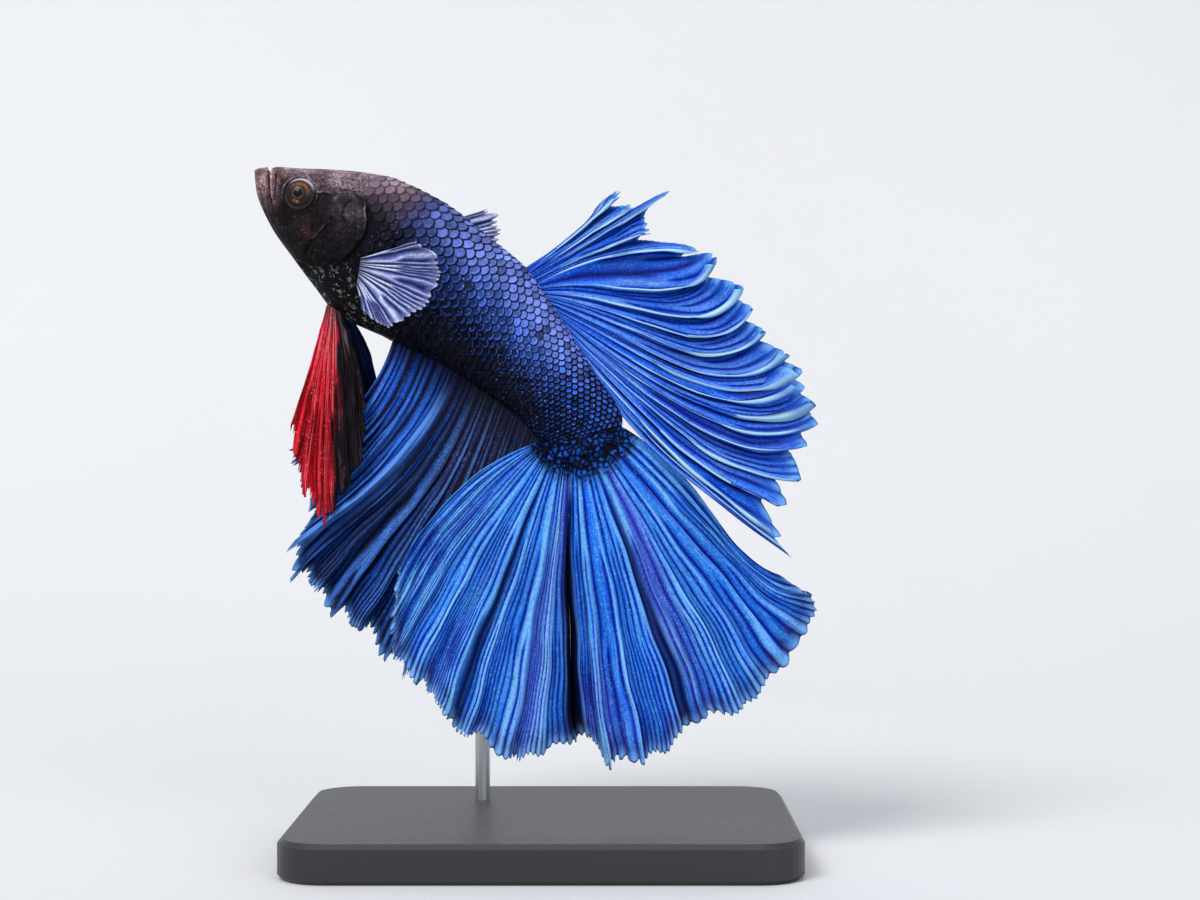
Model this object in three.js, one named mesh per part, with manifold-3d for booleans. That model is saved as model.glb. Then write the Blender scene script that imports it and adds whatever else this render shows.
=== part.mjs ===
// A male halfmoon betta, Betta splendens, life size, rising with its head up and its fins spread.
// It is held over a flat base by one rod that curves into its right flank.
// Millimetres, +Z up. The fish faces -X and shows its left side to -Y.
// The origin is the centre of the base's underside.
import * as THREE from "three";
import { mergeVertices } from "three/addons/utils/BufferGeometryUtils.js";
import Module from "manifold-3d";

const wasm = await Module();
wasm.setup();
const { Manifold, Mesh: ManifoldMesh } = wasm;

// ---- driving dimensions ----

const GAP = 0.3; // clear space between neighbouring solids
const FIN_THICKNESS = 0.56;
const BODY_SIDES = 24;
const BODY_RINGS = 31;
const CUTTER_SIDES = 40;
const EYE_SIDES = 14;
const EYE_RINGS = 9;
const ROD_SIDES = 12;
const CORNER_STEPS = 5; // flats on each round corner of the base
const RAY_SUBSTEPS = 4; // a fin's ray is walked this many times finer than its rows

// The trunk is lofted through these sections, from the lips to the root of the tail fin.
// top and bottom are the back's and the belly's outline, x and z; y is the depth of the middle; half
// is half the greatest width; and roll is how far the back leans to -Y, in degrees.
const SECTIONS = [
  { name: "lips", top: [-28.0, 72.0], bottom: [-30.8, 71.9], y: 1.2, half: 1.2, roll: 6 },
  { name: "snout", top: [-26.6, 71.9], bottom: [-30.55, 69.4], y: 1.3, half: 2.2, roll: 6 },
  { name: "eye", top: [-23.8, 71.8], bottom: [-29.1, 65.8], y: 1.5, half: 3.2, roll: 8 },
  { name: "cheek", top: [-20.5, 71.6], bottom: [-26.7, 62.3], y: 1.7, half: 3.9, roll: 9 },
  { name: "gill", top: [-16.8, 71.0], bottom: [-24.4, 59.2], y: 1.8, half: 4.2, roll: 10 },
  { name: "shoulder", top: [-13.1, 69.5], bottom: [-22.1, 56.4], y: 1.7, half: 4.3, roll: 11 },
  { name: "breast", top: [-9.5, 67.4], bottom: [-19.3, 55.0], y: 1.3, half: 4.3, roll: 12 },
  { name: "belly", top: [-5.8, 64.4], bottom: [-15.6, 53.4], y: 0.6, half: 4.0, roll: 12 },
  { name: "dorsal front", top: [-1.9, 61.1], bottom: [-10.0, 50.6], y: -0.4, half: 3.6, roll: 12 },
  { name: "dorsal rear", top: [1.7, 55.9], bottom: [-5.4, 47.5], y: -1.7, half: 3.0, roll: 10 },
  { name: "stem", top: [5.2, 50.3], bottom: [-2.2, 45.0], y: -3.0, half: 2.4, roll: 8 },
  { name: "tail base", top: [7.9, 44.9], bottom: [0.0, 42.4], y: -4.4, half: 1.6, roll: 6 },
  { name: "tail end", top: [6.4, 41.8], bottom: [1.3, 41.2], y: -4.9, half: 0.7, roll: 5 },
];
const WAIST = 0.54; // the widest level, as a share of the way from belly to back

const EYE = { x: -25.55, y: 1.35, z: 68.8, radius: 1.75, half: 1.25, offset: 2.65 };
const HEAD_SLOPE = 55; // the rise of the lines across the head that the edges below start from
const GILL_EDGE = { x: -23.8, z: 66.5, radius: 5.4, slope: HEAD_SLOPE };
const CHEEK_EDGE = { x: -25.7, z: 66.0, radius: 4.0, slope: HEAD_SLOPE };
const COVER_TOP = { x: -22.6, z: 69.2, slope: -14 };
const COVER_INSIDE = 2.3; // how far a gill cover's inner face is from the middle of the head
const CHEEK_SECTION = 3; // the section whose depth is the middle of the head
const MOUTH = { x: -29.0, z: 71.9, slope: -85, length: 4.4, tip_gap: 0.5, corner_gap: 0.3 };
const JAW_BLOCK = { over: 2, depth: 6 }; // how far it reaches over the lips, and in front of the mouth
const STEM_CUT = 9.35; // the section number where the tail stem is parted from the trunk
const CRUMB = 0.02; // detail finer than this is dropped from a finished solid

const BASE = { width: 52, depth: 40, height: 4, corner: 5, bevel: 0.5 };
const ROD = { x: -7.0, y: 9.5, radius: 0.8, z_entry: 56.5, bend: 6, y_end: 1.4, hole_gap: 0.3 };
// Where the rod's rings stand, as shares of its length: close together around its bend.
const ROD_STATIONS = [0, 0.5, 0.8, 0.84, 0.87, 0.9, 0.93, 0.96, 1];

// ---- curves and solids ----

const radians = THREE.MathUtils.degToRad;

// A smooth curve through [place, value] keys, with no overshoot at a flat stretch.
function keyed(keys) {
  const slope = (a, b) => (b[1] - a[1]) / (b[0] - a[0]);
  const tangents = keys.map((key, i) => {
    if (i === 0) return slope(keys[0], keys[1]);
    if (i === keys.length - 1) return slope(keys[i - 1], key);
    const before = slope(keys[i - 1], key);
    const after = slope(key, keys[i + 1]);
    return before * after <= 0 ? 0 : (2 * before * after) / (before + after);
  });
  return (place) => {
    const last = keys.length - 2;
    const found = keys.findIndex((key, i) => i <= last && place <= keys[i + 1][0]);
    const i = found < 0 ? last : found;
    const width = keys[i + 1][0] - keys[i][0];
    const t = THREE.MathUtils.clamp((place - keys[i][0]) / width, 0, 1);
    const rest = 1 - t;
    return (
      keys[i][1] * rest * rest * (1 + 2 * t) +
      tangents[i] * width * rest * rest * t +
      keys[i + 1][1] * t * t * (3 - 2 * t) -
      tangents[i + 1] * width * t * t * rest
    );
  };
}

// The same, for one field of a list of rows that stand at the places given by at.
const field = (rows, at, value) => keyed(rows.map((row, i) => [at(row, i), value(row)]));

function solidOf(geometry, weld = 1e-4) {
  const bare = geometry.clone();
  const others = Object.keys(bare.attributes).filter((name) => name !== "position");
  others.forEach((name) => bare.deleteAttribute(name));
  const merged = mergeVertices(bare, weld);
  return new Manifold(
    new ManifoldMesh({
      numProp: 3,
      vertProperties: new Float32Array(merged.attributes.position.array),
      triVerts: new Uint32Array(merged.index.array),
    }),
  );
}

// The largest piece of a solid as a geometry, without the crumbs that a cut may leave.
function geometryOf(solid) {
  const whole = (parts) => parts.decompose().sort((a, b) => b.volume() - a.volume())[0];
  const geometry = (part) => {
    const mesh = part.getMesh();
    return new THREE.BufferGeometry()
      .setAttribute("position", new THREE.BufferAttribute(new Float32Array(mesh.vertProperties), 3))
      .setIndex(new THREE.BufferAttribute(new Uint32Array(mesh.triVerts), 1));
  };
  const tidied = solidOf(geometry(whole(solid).simplify(CRUMB)), CRUMB / 2);
  return geometry(whole(tidied).simplify(CRUMB));
}

// A closed solid from rings of equal length, each closed on itself, with a flat cap at either end.
function loft(rings) {
  const sides = rings[0].length;
  const points = rings.flat();
  const faces = [];
  for (let i = 0; i + 1 < rings.length; i++)
    for (let j = 0; j < sides; j++) {
      const a = i * sides + j;
      const b = i * sides + ((j + 1) % sides);
      faces.push(a, b, a + sides, b, b + sides, a + sides);
    }
  for (const [ring, start] of [
    [rings[0], 0],
    [rings.at(-1), points.length - sides],
  ]) {
    const middle = points.length;
    points.push(ring.reduce((sum, p) => sum.add(p), new THREE.Vector3()).divideScalar(sides));
    for (let j = 0; j < sides; j++) {
      const pair = [start + j, start + ((j + 1) % sides)];
      faces.push(middle, ...(start ? pair : pair.reverse()));
    }
  }
  return facing(new THREE.BufferGeometry().setFromPoints(points).setIndex(faces));
}

// The same closed mesh with its faces pointing out.
function facing(geometry) {
  const place = geometry.attributes.position;
  const index = geometry.index.array;
  const [a, b, c] = [new THREE.Vector3(), new THREE.Vector3(), new THREE.Vector3()];
  let volume = 0;
  for (let i = 0; i < index.length; i += 3) {
    a.fromBufferAttribute(place, index[i]);
    b.fromBufferAttribute(place, index[i + 1]);
    c.fromBufferAttribute(place, index[i + 2]);
    volume += a.dot(b.cross(c));
  }
  if (volume < 0) {
    for (let i = 0; i < index.length; i += 3) {
      [index[i], index[i + 1]] = [index[i + 1], index[i]];
    }
  }
  return geometry;
}

// ---- trunk ----

const along = (value) => field(SECTIONS, (_, i) => i, value);
const section = {
  topX: along((s) => s.top[0]),
  topZ: along((s) => s.top[1]),
  bottomX: along((s) => s.bottom[0]),
  bottomZ: along((s) => s.bottom[1]),
  y: along((s) => s.y),
  half: along((s) => s.half),
  roll: along((s) => s.roll),
};
const LAST_SECTION = SECTIONS.length - 1;

// The back, the belly, the middle and the leftward direction of the body at section number t.
function frameAt(t) {
  const lean = Math.tan(radians(section.roll(t)));
  const flat = (at, x, z) => new THREE.Vector3(x(at), section.y(at), z(at));
  const middleAt = (at) =>
    flat(at, section.bottomX, section.bottomZ).lerp(flat(at, section.topX, section.topZ), WAIST);
  const top = flat(t, section.topX, section.topZ);
  const bottom = flat(t, section.bottomX, section.bottomZ);
  const depth = top.distanceTo(bottom);
  top.y -= lean * depth * (1 - WAIST);
  bottom.y += lean * depth * WAIST;
  const step = 0.05;
  const tailward = middleAt(Math.min(t + step, LAST_SECTION)).sub(middleAt(Math.max(t - step, 0)));
  const left = tailward.cross(top.clone().sub(bottom)).normalize();
  return { top, bottom, middle: middleAt(t), left };
}

// One ring of the body's outside, grown outwards by the given amount.
function bodyRing(t, grown) {
  const { top, bottom, middle, left } = frameAt(t);
  const up = top.clone().sub(middle);
  const down = bottom.clone().sub(middle);
  up.setLength(up.length() + grown);
  down.setLength(down.length() + grown);
  const half = section.half(t) + grown;
  return Array.from({ length: BODY_SIDES }, (_, j) => {
    const turn = (2 * Math.PI * j) / BODY_SIDES;
    const rise = Math.sin(turn);
    return middle
      .clone()
      .addScaledVector(left, half * Math.cos(turn))
      .addScaledVector(rise > 0 ? up : down, Math.abs(rise));
  });
}

function bodySolid(grown = 0) {
  const rings = Array.from({ length: BODY_RINGS }, (_, i) =>
    bodyRing((LAST_SECTION * i) / (BODY_RINGS - 1), grown),
  );
  return solidOf(loft(rings));
}

// ---- cutters, which all run right through the fish from -Y to +Y ----

const REACH = 40;

// A drum that lies along Y.
function crosswiseCylinder({ x, z, radius }, grown = 0) {
  const drum = new THREE.CylinderGeometry(radius + grown, radius + grown, 2 * REACH, CUTTER_SIDES);
  return solidOf(drum.translate(x, 0, z));
}

// All within a round edge, and all in front of the line through its middle.
const frontOf = (edge, grown = 0) => crosswiseCylinder(edge, grown).add(halfSpace(edge, -grown));

// A slab over the line through x, z that rises by slope degrees towards +X.
function halfSpace({ x, z, slope }, shift = 0) {
  const slab = new THREE.BoxGeometry(2 * REACH, 2 * REACH, REACH);
  slab.translate(0, 0, REACH / 2 + shift);
  slab.rotateY(-radians(slope));
  return solidOf(slab.translate(x, 0, z));
}

// Everything on one side of the head, beyond the given distance from its middle.
function sideSlab(side, from) {
  const slab = new THREE.BoxGeometry(2 * REACH, REACH, 2 * REACH);
  const middle = section.y(CHEEK_SECTION) + side * (from + REACH / 2);
  return solidOf(slab.translate(EYE.x, middle, EYE.z));
}

// The room of one gill cover: beyond a plane beside the middle, behind the cheek, under its top edge.
function coverRoom(side, shrunk = 0) {
  return sideSlab(side, COVER_INSIDE + shrunk)
    .subtract(frontOf(CHEEK_EDGE, shrunk))
    .subtract(halfSpace(COVER_TOP, -shrunk));
}

// Everything tailward of the body's ring at section number t.
function tailwardOf(t, shift = 0) {
  const { top, bottom, middle, left } = frameAt(t);
  const up = top.clone().sub(bottom).normalize();
  const tailward = left.clone().cross(up).multiplyScalar(-1).normalize();
  const block = new THREE.BoxGeometry(REACH, REACH, REACH);
  block.translate(REACH / 2 + shift, 0, 0);
  const turn = new THREE.Matrix4().makeBasis(tailward, left, tailward.clone().cross(left));
  return solidOf(block.applyMatrix4(turn.setPosition(middle)));
}

// A wedge that opens the mouth from its corner to the lips.
function mouthWedge() {
  const { length, tip_gap: tip, corner_gap: corner } = MOUTH;
  const outline = new THREE.Shape([
    new THREE.Vector2(-JAW_BLOCK.over, -tip / 2),
    new THREE.Vector2(-JAW_BLOCK.over, tip / 2),
    new THREE.Vector2(length, corner / 2),
    new THREE.Vector2(length, -corner / 2),
  ]);
  return crosswise(outline);
}

// The block of the lower jaw: the front side of the mouth's line, down to its corner.
function jawBlock(grown = 0) {
  const { over, depth } = JAW_BLOCK;
  const end = MOUTH.length + grown;
  const outline = new THREE.Shape([
    new THREE.Vector2(-over, 0),
    new THREE.Vector2(end, 0),
    new THREE.Vector2(end, -depth),
    new THREE.Vector2(-over, -depth),
  ]);
  return crosswise(outline);
}

// Extrudes an outline drawn along the mouth's line, with the chin on its negative side.
function crosswise(outline) {
  const plate = new THREE.ExtrudeGeometry(outline, { depth: 2 * REACH, bevelEnabled: false });
  plate.translate(0, 0, -REACH);
  plate.rotateX(Math.PI / 2);
  plate.rotateY(-radians(MOUTH.slope));
  return solidOf(plate.translate(MOUTH.x, 0, MOUTH.z));
}

// One eyeball, on the side of the fish that side names: -1 for the left, 1 for the right.
function ellipsoid(side, grown = 0) {
  const ball = new THREE.SphereGeometry(1, EYE_SIDES, EYE_RINGS);
  ball.rotateX(Math.PI / 2);
  ball.scale(EYE.radius + grown, EYE.half + grown, EYE.radius + grown);
  return solidOf(ball.translate(EYE.x, EYE.y + side * EYE.offset, EYE.z));
}

// ---- fins ----

// A fin is a fan of rays from a root line. Each key ray has at, its place across the fan from 0 to 1;
// leave, the direction in which it leaves the root, in degrees under +X; sweep, how far it has turned
// at its tip; curl, a further turn close to the tip; length; and out, how far the tip stands from the
// root in Y. A fold is a narrow pleat that stands back from the fan at one place across it.
function finGrid({ root, rays, columns, rows, ruffle = 0, waves = 0, fold }) {
  const ray = {};
  for (const name of ["leave", "sweep", "curl", "length", "out"])
    ray[name] = field(rays, (r) => r.at, (r) => r[name] ?? 0);
  return Array.from({ length: columns }, (_, i) => {
    const u = i / (columns - 1);
    const point = root(u);
    const start = point.y;
    const steps = rows * RAY_SUBSTEPS;
    const column = [point.clone()];
    for (let step = 1; step <= steps; step++) {
      const v = step / steps;
      const middle = v - 0.5 / steps;
      const heading = radians(ray.leave(u) + ray.sweep(u) * middle + ray.curl(u) * middle ** 4);
      const length = ray.length(u) / steps;
      point.x += Math.cos(heading) * length;
      point.z -= Math.sin(heading) * length;
      const ripple = ruffle * v ** 1.5 * Math.sin(2 * Math.PI * waves * u);
      const pleat = fold ? fold.depth * v * Math.exp(-(((u - fold.at) / fold.width) ** 2)) : 0;
      point.y = start + ray.out(u) * v ** 1.2 + ripple + pleat;
      if (step % RAY_SUBSTEPS === 0) column.push(point.clone());
    }
    return column;
  });
}

// A closed sheet of even thickness around a grid of points.
function sheet(grid, thickness = FIN_THICKNESS) {
  const columns = grid.length;
  const rows = grid[0].length;
  const at = (i, j) =>
    grid[THREE.MathUtils.clamp(i, 0, columns - 1)][THREE.MathUtils.clamp(j, 0, rows - 1)];
  const points = [];
  for (const side of [1, -1])
    for (let i = 0; i < columns; i++)
      for (let j = 0; j < rows; j++) {
        const across = at(i + 1, j).clone().sub(at(i - 1, j));
        const outward = at(i, j + 1).clone().sub(at(i, j - 1));
        const normal = across.cross(outward).normalize();
        points.push(at(i, j).clone().addScaledVector(normal, (side * thickness) / 2));
      }
  const id = (side, i, j) => side * columns * rows + i * rows + j;
  const faces = [];
  const quad = (a, b, c, d) => faces.push(a, b, c, a, c, d);
  for (let i = 0; i + 1 < columns; i++)
    for (let j = 0; j + 1 < rows; j++) {
      quad(id(0, i, j), id(0, i + 1, j), id(0, i + 1, j + 1), id(0, i, j + 1));
      quad(id(1, i, j), id(1, i, j + 1), id(1, i + 1, j + 1), id(1, i + 1, j));
    }
  const rim = [];
  for (let i = 0; i + 1 < columns; i++) rim.push([i, 0]);
  for (let j = 0; j + 1 < rows; j++) rim.push([columns - 1, j]);
  for (let i = columns - 1; i > 0; i--) rim.push([i, rows - 1]);
  for (let j = rows - 1; j > 0; j--) rim.push([0, j]);
  rim.forEach(([i, j], k) => {
    const [m, n] = rim[(k + 1) % rim.length];
    quad(id(0, i, j), id(1, i, j), id(1, m, n), id(0, m, n));
  });
  return solidOf(facing(new THREE.BufferGeometry().setFromPoints(points).setIndex(faces)));
}

// A root line along the back or the belly, between two section numbers, sunk a little into the body.
function rootAlong(edge, from, to) {
  const sunk = 0.6;
  return (u) => {
    const frame = frameAt(THREE.MathUtils.lerp(from, to, u));
    const inward = frame.middle.clone().sub(frame[edge]).setLength(sunk);
    return frame[edge].clone().add(inward);
  };
}

const TAIL_ROOT = { x: 4.1, z: 43.9, y: -4.6, half_width: 3.8, sag: 2.0, tilt: 0.7 };

// The tail fin's root is a shallow arc across the end of the stem. Its rays crowd at the belly's side.
function tailRoot(u) {
  const share = u ** 2 * 2 - 1;
  return new THREE.Vector3(
    TAIL_ROOT.x + share * TAIL_ROOT.half_width,
    TAIL_ROOT.y,
    TAIL_ROOT.z - TAIL_ROOT.sag * (1 - share * share) + TAIL_ROOT.tilt * share,
  );
}

const lineBetween = (a, b) => (u) => new THREE.Vector3(...a).lerp(new THREE.Vector3(...b), u);

const DORSAL_FIN = {
  root: rootAlong("top", 7.95, 9.05),
  columns: 36,
  rows: 8,
  ruffle: 0.25,
  waves: 5,
  rays: [
    { at: 0, leave: -31, sweep: -8, curl: -30, length: 11.8, out: 0.5 },
    { at: 0.07, leave: -36, sweep: -6, curl: -10, length: 12.8, out: 0.2 },
    { at: 0.13, leave: -33, sweep: -2, length: 12.4, out: -0.3 },
    { at: 0.2, leave: -31, sweep: -2, length: 16.9, out: -0.8 },
    { at: 0.27, leave: -29, sweep: 10, length: 12.4, out: -1.2 },
    { at: 0.33, leave: -30, sweep: 35, length: 17.4, out: -1.8 },
    { at: 0.39, leave: -12, sweep: 49, curl: -110, length: 19.3, out: -2.6 },
    { at: 0.46, leave: 0, sweep: 42, curl: -115, length: 21.7, out: -3.2 },
    { at: 0.53, leave: 12, sweep: 33, curl: -105, length: 24.0, out: -3.8 },
    { at: 0.61, leave: 24, sweep: 14, curl: -92, length: 27.4, out: -4.6 },
    { at: 0.69, leave: 32, sweep: 1, curl: -76, length: 28.8, out: -5.4 },
    { at: 0.76, leave: 39, sweep: -9, curl: -60, length: 30.7, out: -6.0 },
    { at: 0.83, leave: 45, sweep: -9, curl: -40, length: 30.7, out: -6.4 },
    { at: 0.89, leave: 50, sweep: -9, curl: -22, length: 30.4, out: -6.8 },
    { at: 0.94, leave: 55, sweep: -20, length: 32.6, out: -7.2 },
    { at: 1, leave: 62, sweep: -38, curl: 12, length: 33.4, out: -7.4 },
  ],
};

const ANAL_FIN = {
  root: rootAlong("bottom", 6.8, 10.9),
  columns: 26,
  rows: 7,
  ruffle: 0.45,
  waves: 5,
  rays: [
    { at: 0, leave: 104, sweep: 52, curl: 10, length: 16.5, out: -2.0 },
    { at: 0.1, leave: 105, sweep: 49, length: 18.3, out: -2.0 },
    { at: 0.2, leave: 108, sweep: 42, curl: -8, length: 20.9, out: -2.1 },
    { at: 0.25, leave: 109, sweep: 46, curl: -14, length: 23.3, out: -2.2 },
    { at: 0.3, leave: 109, sweep: 54, curl: -22, length: 25.7, out: -2.2 },
    { at: 0.35, leave: 108, sweep: 56, curl: -32, length: 27.2, out: -2.2 },
    { at: 0.4, leave: 108, sweep: 51, curl: -36, length: 27.6, out: -2.0 },
    { at: 0.45, leave: 108, sweep: 40, curl: -32, length: 28.2, out: -1.6 },
    { at: 0.5, leave: 109, sweep: 25, curl: -20, length: 28.5, out: -1.2 },
    { at: 0.6, leave: 110, sweep: 1, length: 29.8, out: 0.2 },
    { at: 0.75, leave: 108, sweep: 5, length: 29.6, out: 1.4 },
    { at: 0.9, leave: 107, sweep: 8, length: 26.6, out: 2.6 },
    { at: 1, leave: 104, sweep: 12, length: 22.0, out: 3.2 },
  ],
};

const CAUDAL_FIN = {
  root: tailRoot,
  columns: 51,
  rows: 7,
  ruffle: 0.3,
  waves: 10,
  fold: { at: 0.58, width: 0.018, depth: 2.2 },
  rays: [
    { at: 0, leave: 164, sweep: -54, curl: 6, length: 20.2, out: -6.4 },
    { at: 0.1, leave: 148, sweep: -35, length: 24.0, out: -6.6 },
    { at: 0.2, leave: 137, sweep: -23, length: 26.6, out: -6.4 },
    { at: 0.3, leave: 121, sweep: -10, length: 28.2, out: -6.0 },
    { at: 0.4, leave: 108, sweep: 0, length: 30.4, out: -5.4 },
    { at: 0.5, leave: 98, sweep: 1, length: 31.6, out: -4.8 },
    { at: 0.565, leave: 95, sweep: -10, length: 29.4, out: -4.2 },
    { at: 0.595, leave: 92, sweep: -9, length: 29.2, out: -3.8 },
    { at: 0.65, leave: 84, sweep: -1, length: 31.8, out: -3.4 },
    { at: 0.72, leave: 76, sweep: 2, length: 32.2, out: -2.8 },
    { at: 0.77, leave: 69, sweep: 3, length: 30.0, out: -2.2 },
    { at: 0.83, leave: 58, sweep: 6, length: 30.6, out: -1.2 },
    { at: 0.88, leave: 49, sweep: 6, length: 29.6, out: -0.4 },
    { at: 0.93, leave: 42, sweep: 16, curl: -40, length: 28.2, out: 0.6 },
    { at: 0.97, leave: 36, sweep: 38, curl: -75, length: 26.6, out: 1.4 },
    { at: 1, leave: 29, sweep: 56, curl: -70, length: 23.2, out: 2.0 },
  ],
};

const PELVIC_FIN_LEFT = {
  root: lineBetween([-23.1, 1.8, 57.5], [-21.7, 1.6, 56.8]),
  columns: 13,
  rows: 7,
  ruffle: 0.25,
  waves: 2,
  rays: [
    { at: 0, leave: 103, sweep: 4, length: 13.2, out: -3.0 },
    { at: 0.12, leave: 102, sweep: -2, length: 16.6, out: -3.4 },
    { at: 0.25, leave: 100, sweep: -6, length: 19.7, out: -3.8 },
    { at: 0.38, leave: 97, sweep: -8, length: 21.8, out: -4.0 },
    { at: 0.5, leave: 94, sweep: -6, length: 22.8, out: -4.0 },
    { at: 0.62, leave: 88, sweep: 0, length: 20.9, out: -3.8 },
    { at: 0.75, leave: 82, sweep: 3, length: 18.5, out: -3.4 },
    { at: 0.87, leave: 74, sweep: 8, length: 15.0, out: -3.0 },
    { at: 1, leave: 66, sweep: 16, length: 10.4, out: -2.4 },
  ],
};

const PELVIC_FIN_RIGHT = {
  root: lineBetween([-22.9, 3.2, 57.7], [-21.3, 3.4, 57.0]),
  columns: 12,
  rows: 7,
  ruffle: 0.25,
  waves: 2,
  rays: [
    { at: 0, leave: 104, sweep: 2, length: 15.2, out: 3.0 },
    { at: 0.2, leave: 98, sweep: -2, length: 19.4, out: 3.2 },
    { at: 0.4, leave: 90, sweep: 0, length: 20.8, out: 3.4 },
    { at: 0.6, leave: 79, sweep: 8, length: 17.8, out: 3.2 },
    { at: 0.8, leave: 64, sweep: 24, length: 12.8, out: 2.6 },
    { at: 1, leave: 50, sweep: 40, length: 9.0, out: 2.0 },
  ],
};

const PECTORAL_FIN_LEFT = {
  root: lineBetween([-19.1, -2.2, 62.1], [-19.5, -2.2, 59.3]),
  columns: 15,
  rows: 4,
  ruffle: 0.15,
  waves: 5,
  rays: [
    { at: 0, leave: -12, sweep: 2, length: 6.2, out: -6.0 },
    { at: 0.15, leave: 1, sweep: 2, length: 8.5, out: -6.4 },
    { at: 0.3, leave: 12, sweep: 3, length: 8.9, out: -6.6 },
    { at: 0.45, leave: 23, sweep: 3, length: 8.6, out: -6.6 },
    { at: 0.6, leave: 40, sweep: 4, length: 7.4, out: -6.4 },
    { at: 0.75, leave: 53, sweep: 5, length: 6.5, out: -6.0 },
    { at: 0.9, leave: 63, sweep: 5, length: 4.2, out: -5.2 },
    { at: 1, leave: 68, sweep: 4, length: 2.8, out: -4.4 },
  ],
};

const PECTORAL_FIN_RIGHT = {
  root: lineBetween([-19.2, 5.2, 63.4], [-19.6, 5.2, 60.8]),
  columns: 15,
  rows: 4,
  ruffle: 0.15,
  waves: 5,
  rays: [
    { at: 0, leave: -22, sweep: 2, length: 13.0, out: 3.2 },
    { at: 0.15, leave: -18, sweep: 2, length: 14.2, out: 3.4 },
    { at: 0.3, leave: -10, sweep: 3, length: 14.0, out: 3.4 },
    { at: 0.45, leave: 5, sweep: 3, length: 12.2, out: 3.4 },
    { at: 0.6, leave: 18, sweep: 4, length: 11.2, out: 3.2 },
    { at: 0.75, leave: 32, sweep: 5, length: 9.8, out: 3.0 },
    { at: 0.9, leave: 46, sweep: 6, length: 7.6, out: 2.6 },
    { at: 1, leave: 56, sweep: 6, length: 5.6, out: 2.2 },
  ],
};

// ---- stand ----

// A flat plate with round corners and a small bevel.
function standBase() {
  const { width, depth, height, corner, bevel } = BASE;
  const [w, d] = [width / 2 - bevel, depth / 2 - bevel];
  const r = corner - bevel;
  const outline = new THREE.Shape();
  outline.absarc(w - r, -d + r, r, -Math.PI / 2, 0);
  outline.absarc(w - r, d - r, r, 0, Math.PI / 2);
  outline.absarc(-w + r, d - r, r, Math.PI / 2, Math.PI);
  outline.absarc(-w + r, -d + r, r, Math.PI, 1.5 * Math.PI);
  const plate = new THREE.ExtrudeGeometry(outline, {
    depth: height - 2 * bevel,
    bevelThickness: bevel,
    bevelSize: bevel,
    bevelSegments: 1,
    curveSegments: CORNER_STEPS,
  });
  return solidOf(plate.translate(0, 0, bevel));
}

// The rod stands upright behind the fins and curves forwards into the right flank.
function rodSolid(grown = 0) {
  const { x, y, radius, z_entry: top, bend, y_end: end } = ROD;
  const from = BASE.height;
  const path = new THREE.CurvePath();
  path.add(new THREE.LineCurve3(new THREE.Vector3(x, y, from), new THREE.Vector3(x, y, top - bend)));
  path.add(
    new THREE.QuadraticBezierCurve3(
      new THREE.Vector3(x, y, top - bend),
      new THREE.Vector3(x, y, top),
      new THREE.Vector3(x, y - bend, top),
    ),
  );
  path.add(new THREE.LineCurve3(new THREE.Vector3(x, y - bend, top), new THREE.Vector3(x, end, top)));
  const side = new THREE.Vector3(1, 0, 0);
  const rings = ROD_STATIONS.map((share) => {
    const centre = path.getPointAt(share);
    const across = side.clone().cross(path.getTangentAt(share)).normalize();
    return Array.from({ length: ROD_SIDES }, (_, j) => {
      const turn = (2 * Math.PI * j) / ROD_SIDES;
      return centre
        .clone()
        .addScaledVector(side, Math.cos(turn) * (radius + grown))
        .addScaledVector(across, Math.sin(turn) * (radius + grown));
    });
  });
  return solidOf(loft(rings));
}

// ---- colours ----

const finish = (color, roughness, metalness = 0) =>
  new THREE.MeshStandardMaterial({ color, roughness, metalness });
const SKIN = finish(0x2c2430, 0.5);
const FLANK = finish(0x2a45a0, 0.4);
const FIN = finish(0x1446c8, 0.45);
const RED_FIN = finish(0xc01020, 0.45);
const PALE_FIN = finish(0x8f93c8, 0.45);
const EYEBALL = finish(0x1a120e, 0.08);
const LACQUER = finish(0x17181a, 0.35);
const STEEL = finish(0xb8babc, 0.25, 1);

// ---- assembly ----

const betta = new THREE.Group();

function add(name, solid, material) {
  const mesh = new THREE.Mesh(geometryOf(solid), material);
  mesh.name = name;
  betta.add(mesh);
}

const body = bodySolid();
const cleared = bodySolid(GAP);
const rod = rodSolid();

const wholeHead = body
  .intersect(frontOf(GILL_EDGE))
  .subtract(ellipsoid(1, GAP))
  .subtract(ellipsoid(-1, GAP));
add("lower_jaw", wholeHead.intersect(jawBlock()).subtract(mouthWedge()), SKIN);
add(
  "head",
  wholeHead
    .subtract(jawBlock(GAP))
    .subtract(mouthWedge())
    .subtract(coverRoom(-1))
    .subtract(coverRoom(1)),
  SKIN,
);
add("gill_cover_left", wholeHead.intersect(coverRoom(-1, GAP)), SKIN);
add("gill_cover_right", wholeHead.intersect(coverRoom(1, GAP)), SKIN);
add("eye_left", ellipsoid(-1), EYEBALL);
add("eye_right", ellipsoid(1), EYEBALL);

const behindHead = body.subtract(frontOf(GILL_EDGE, GAP));
const socket = rodSolid(ROD.hole_gap);
add("trunk", behindHead.subtract(tailwardOf(STEM_CUT)).subtract(socket), FLANK);
add("tail_stem", behindHead.intersect(tailwardOf(STEM_CUT, GAP)), FLANK);

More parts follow.
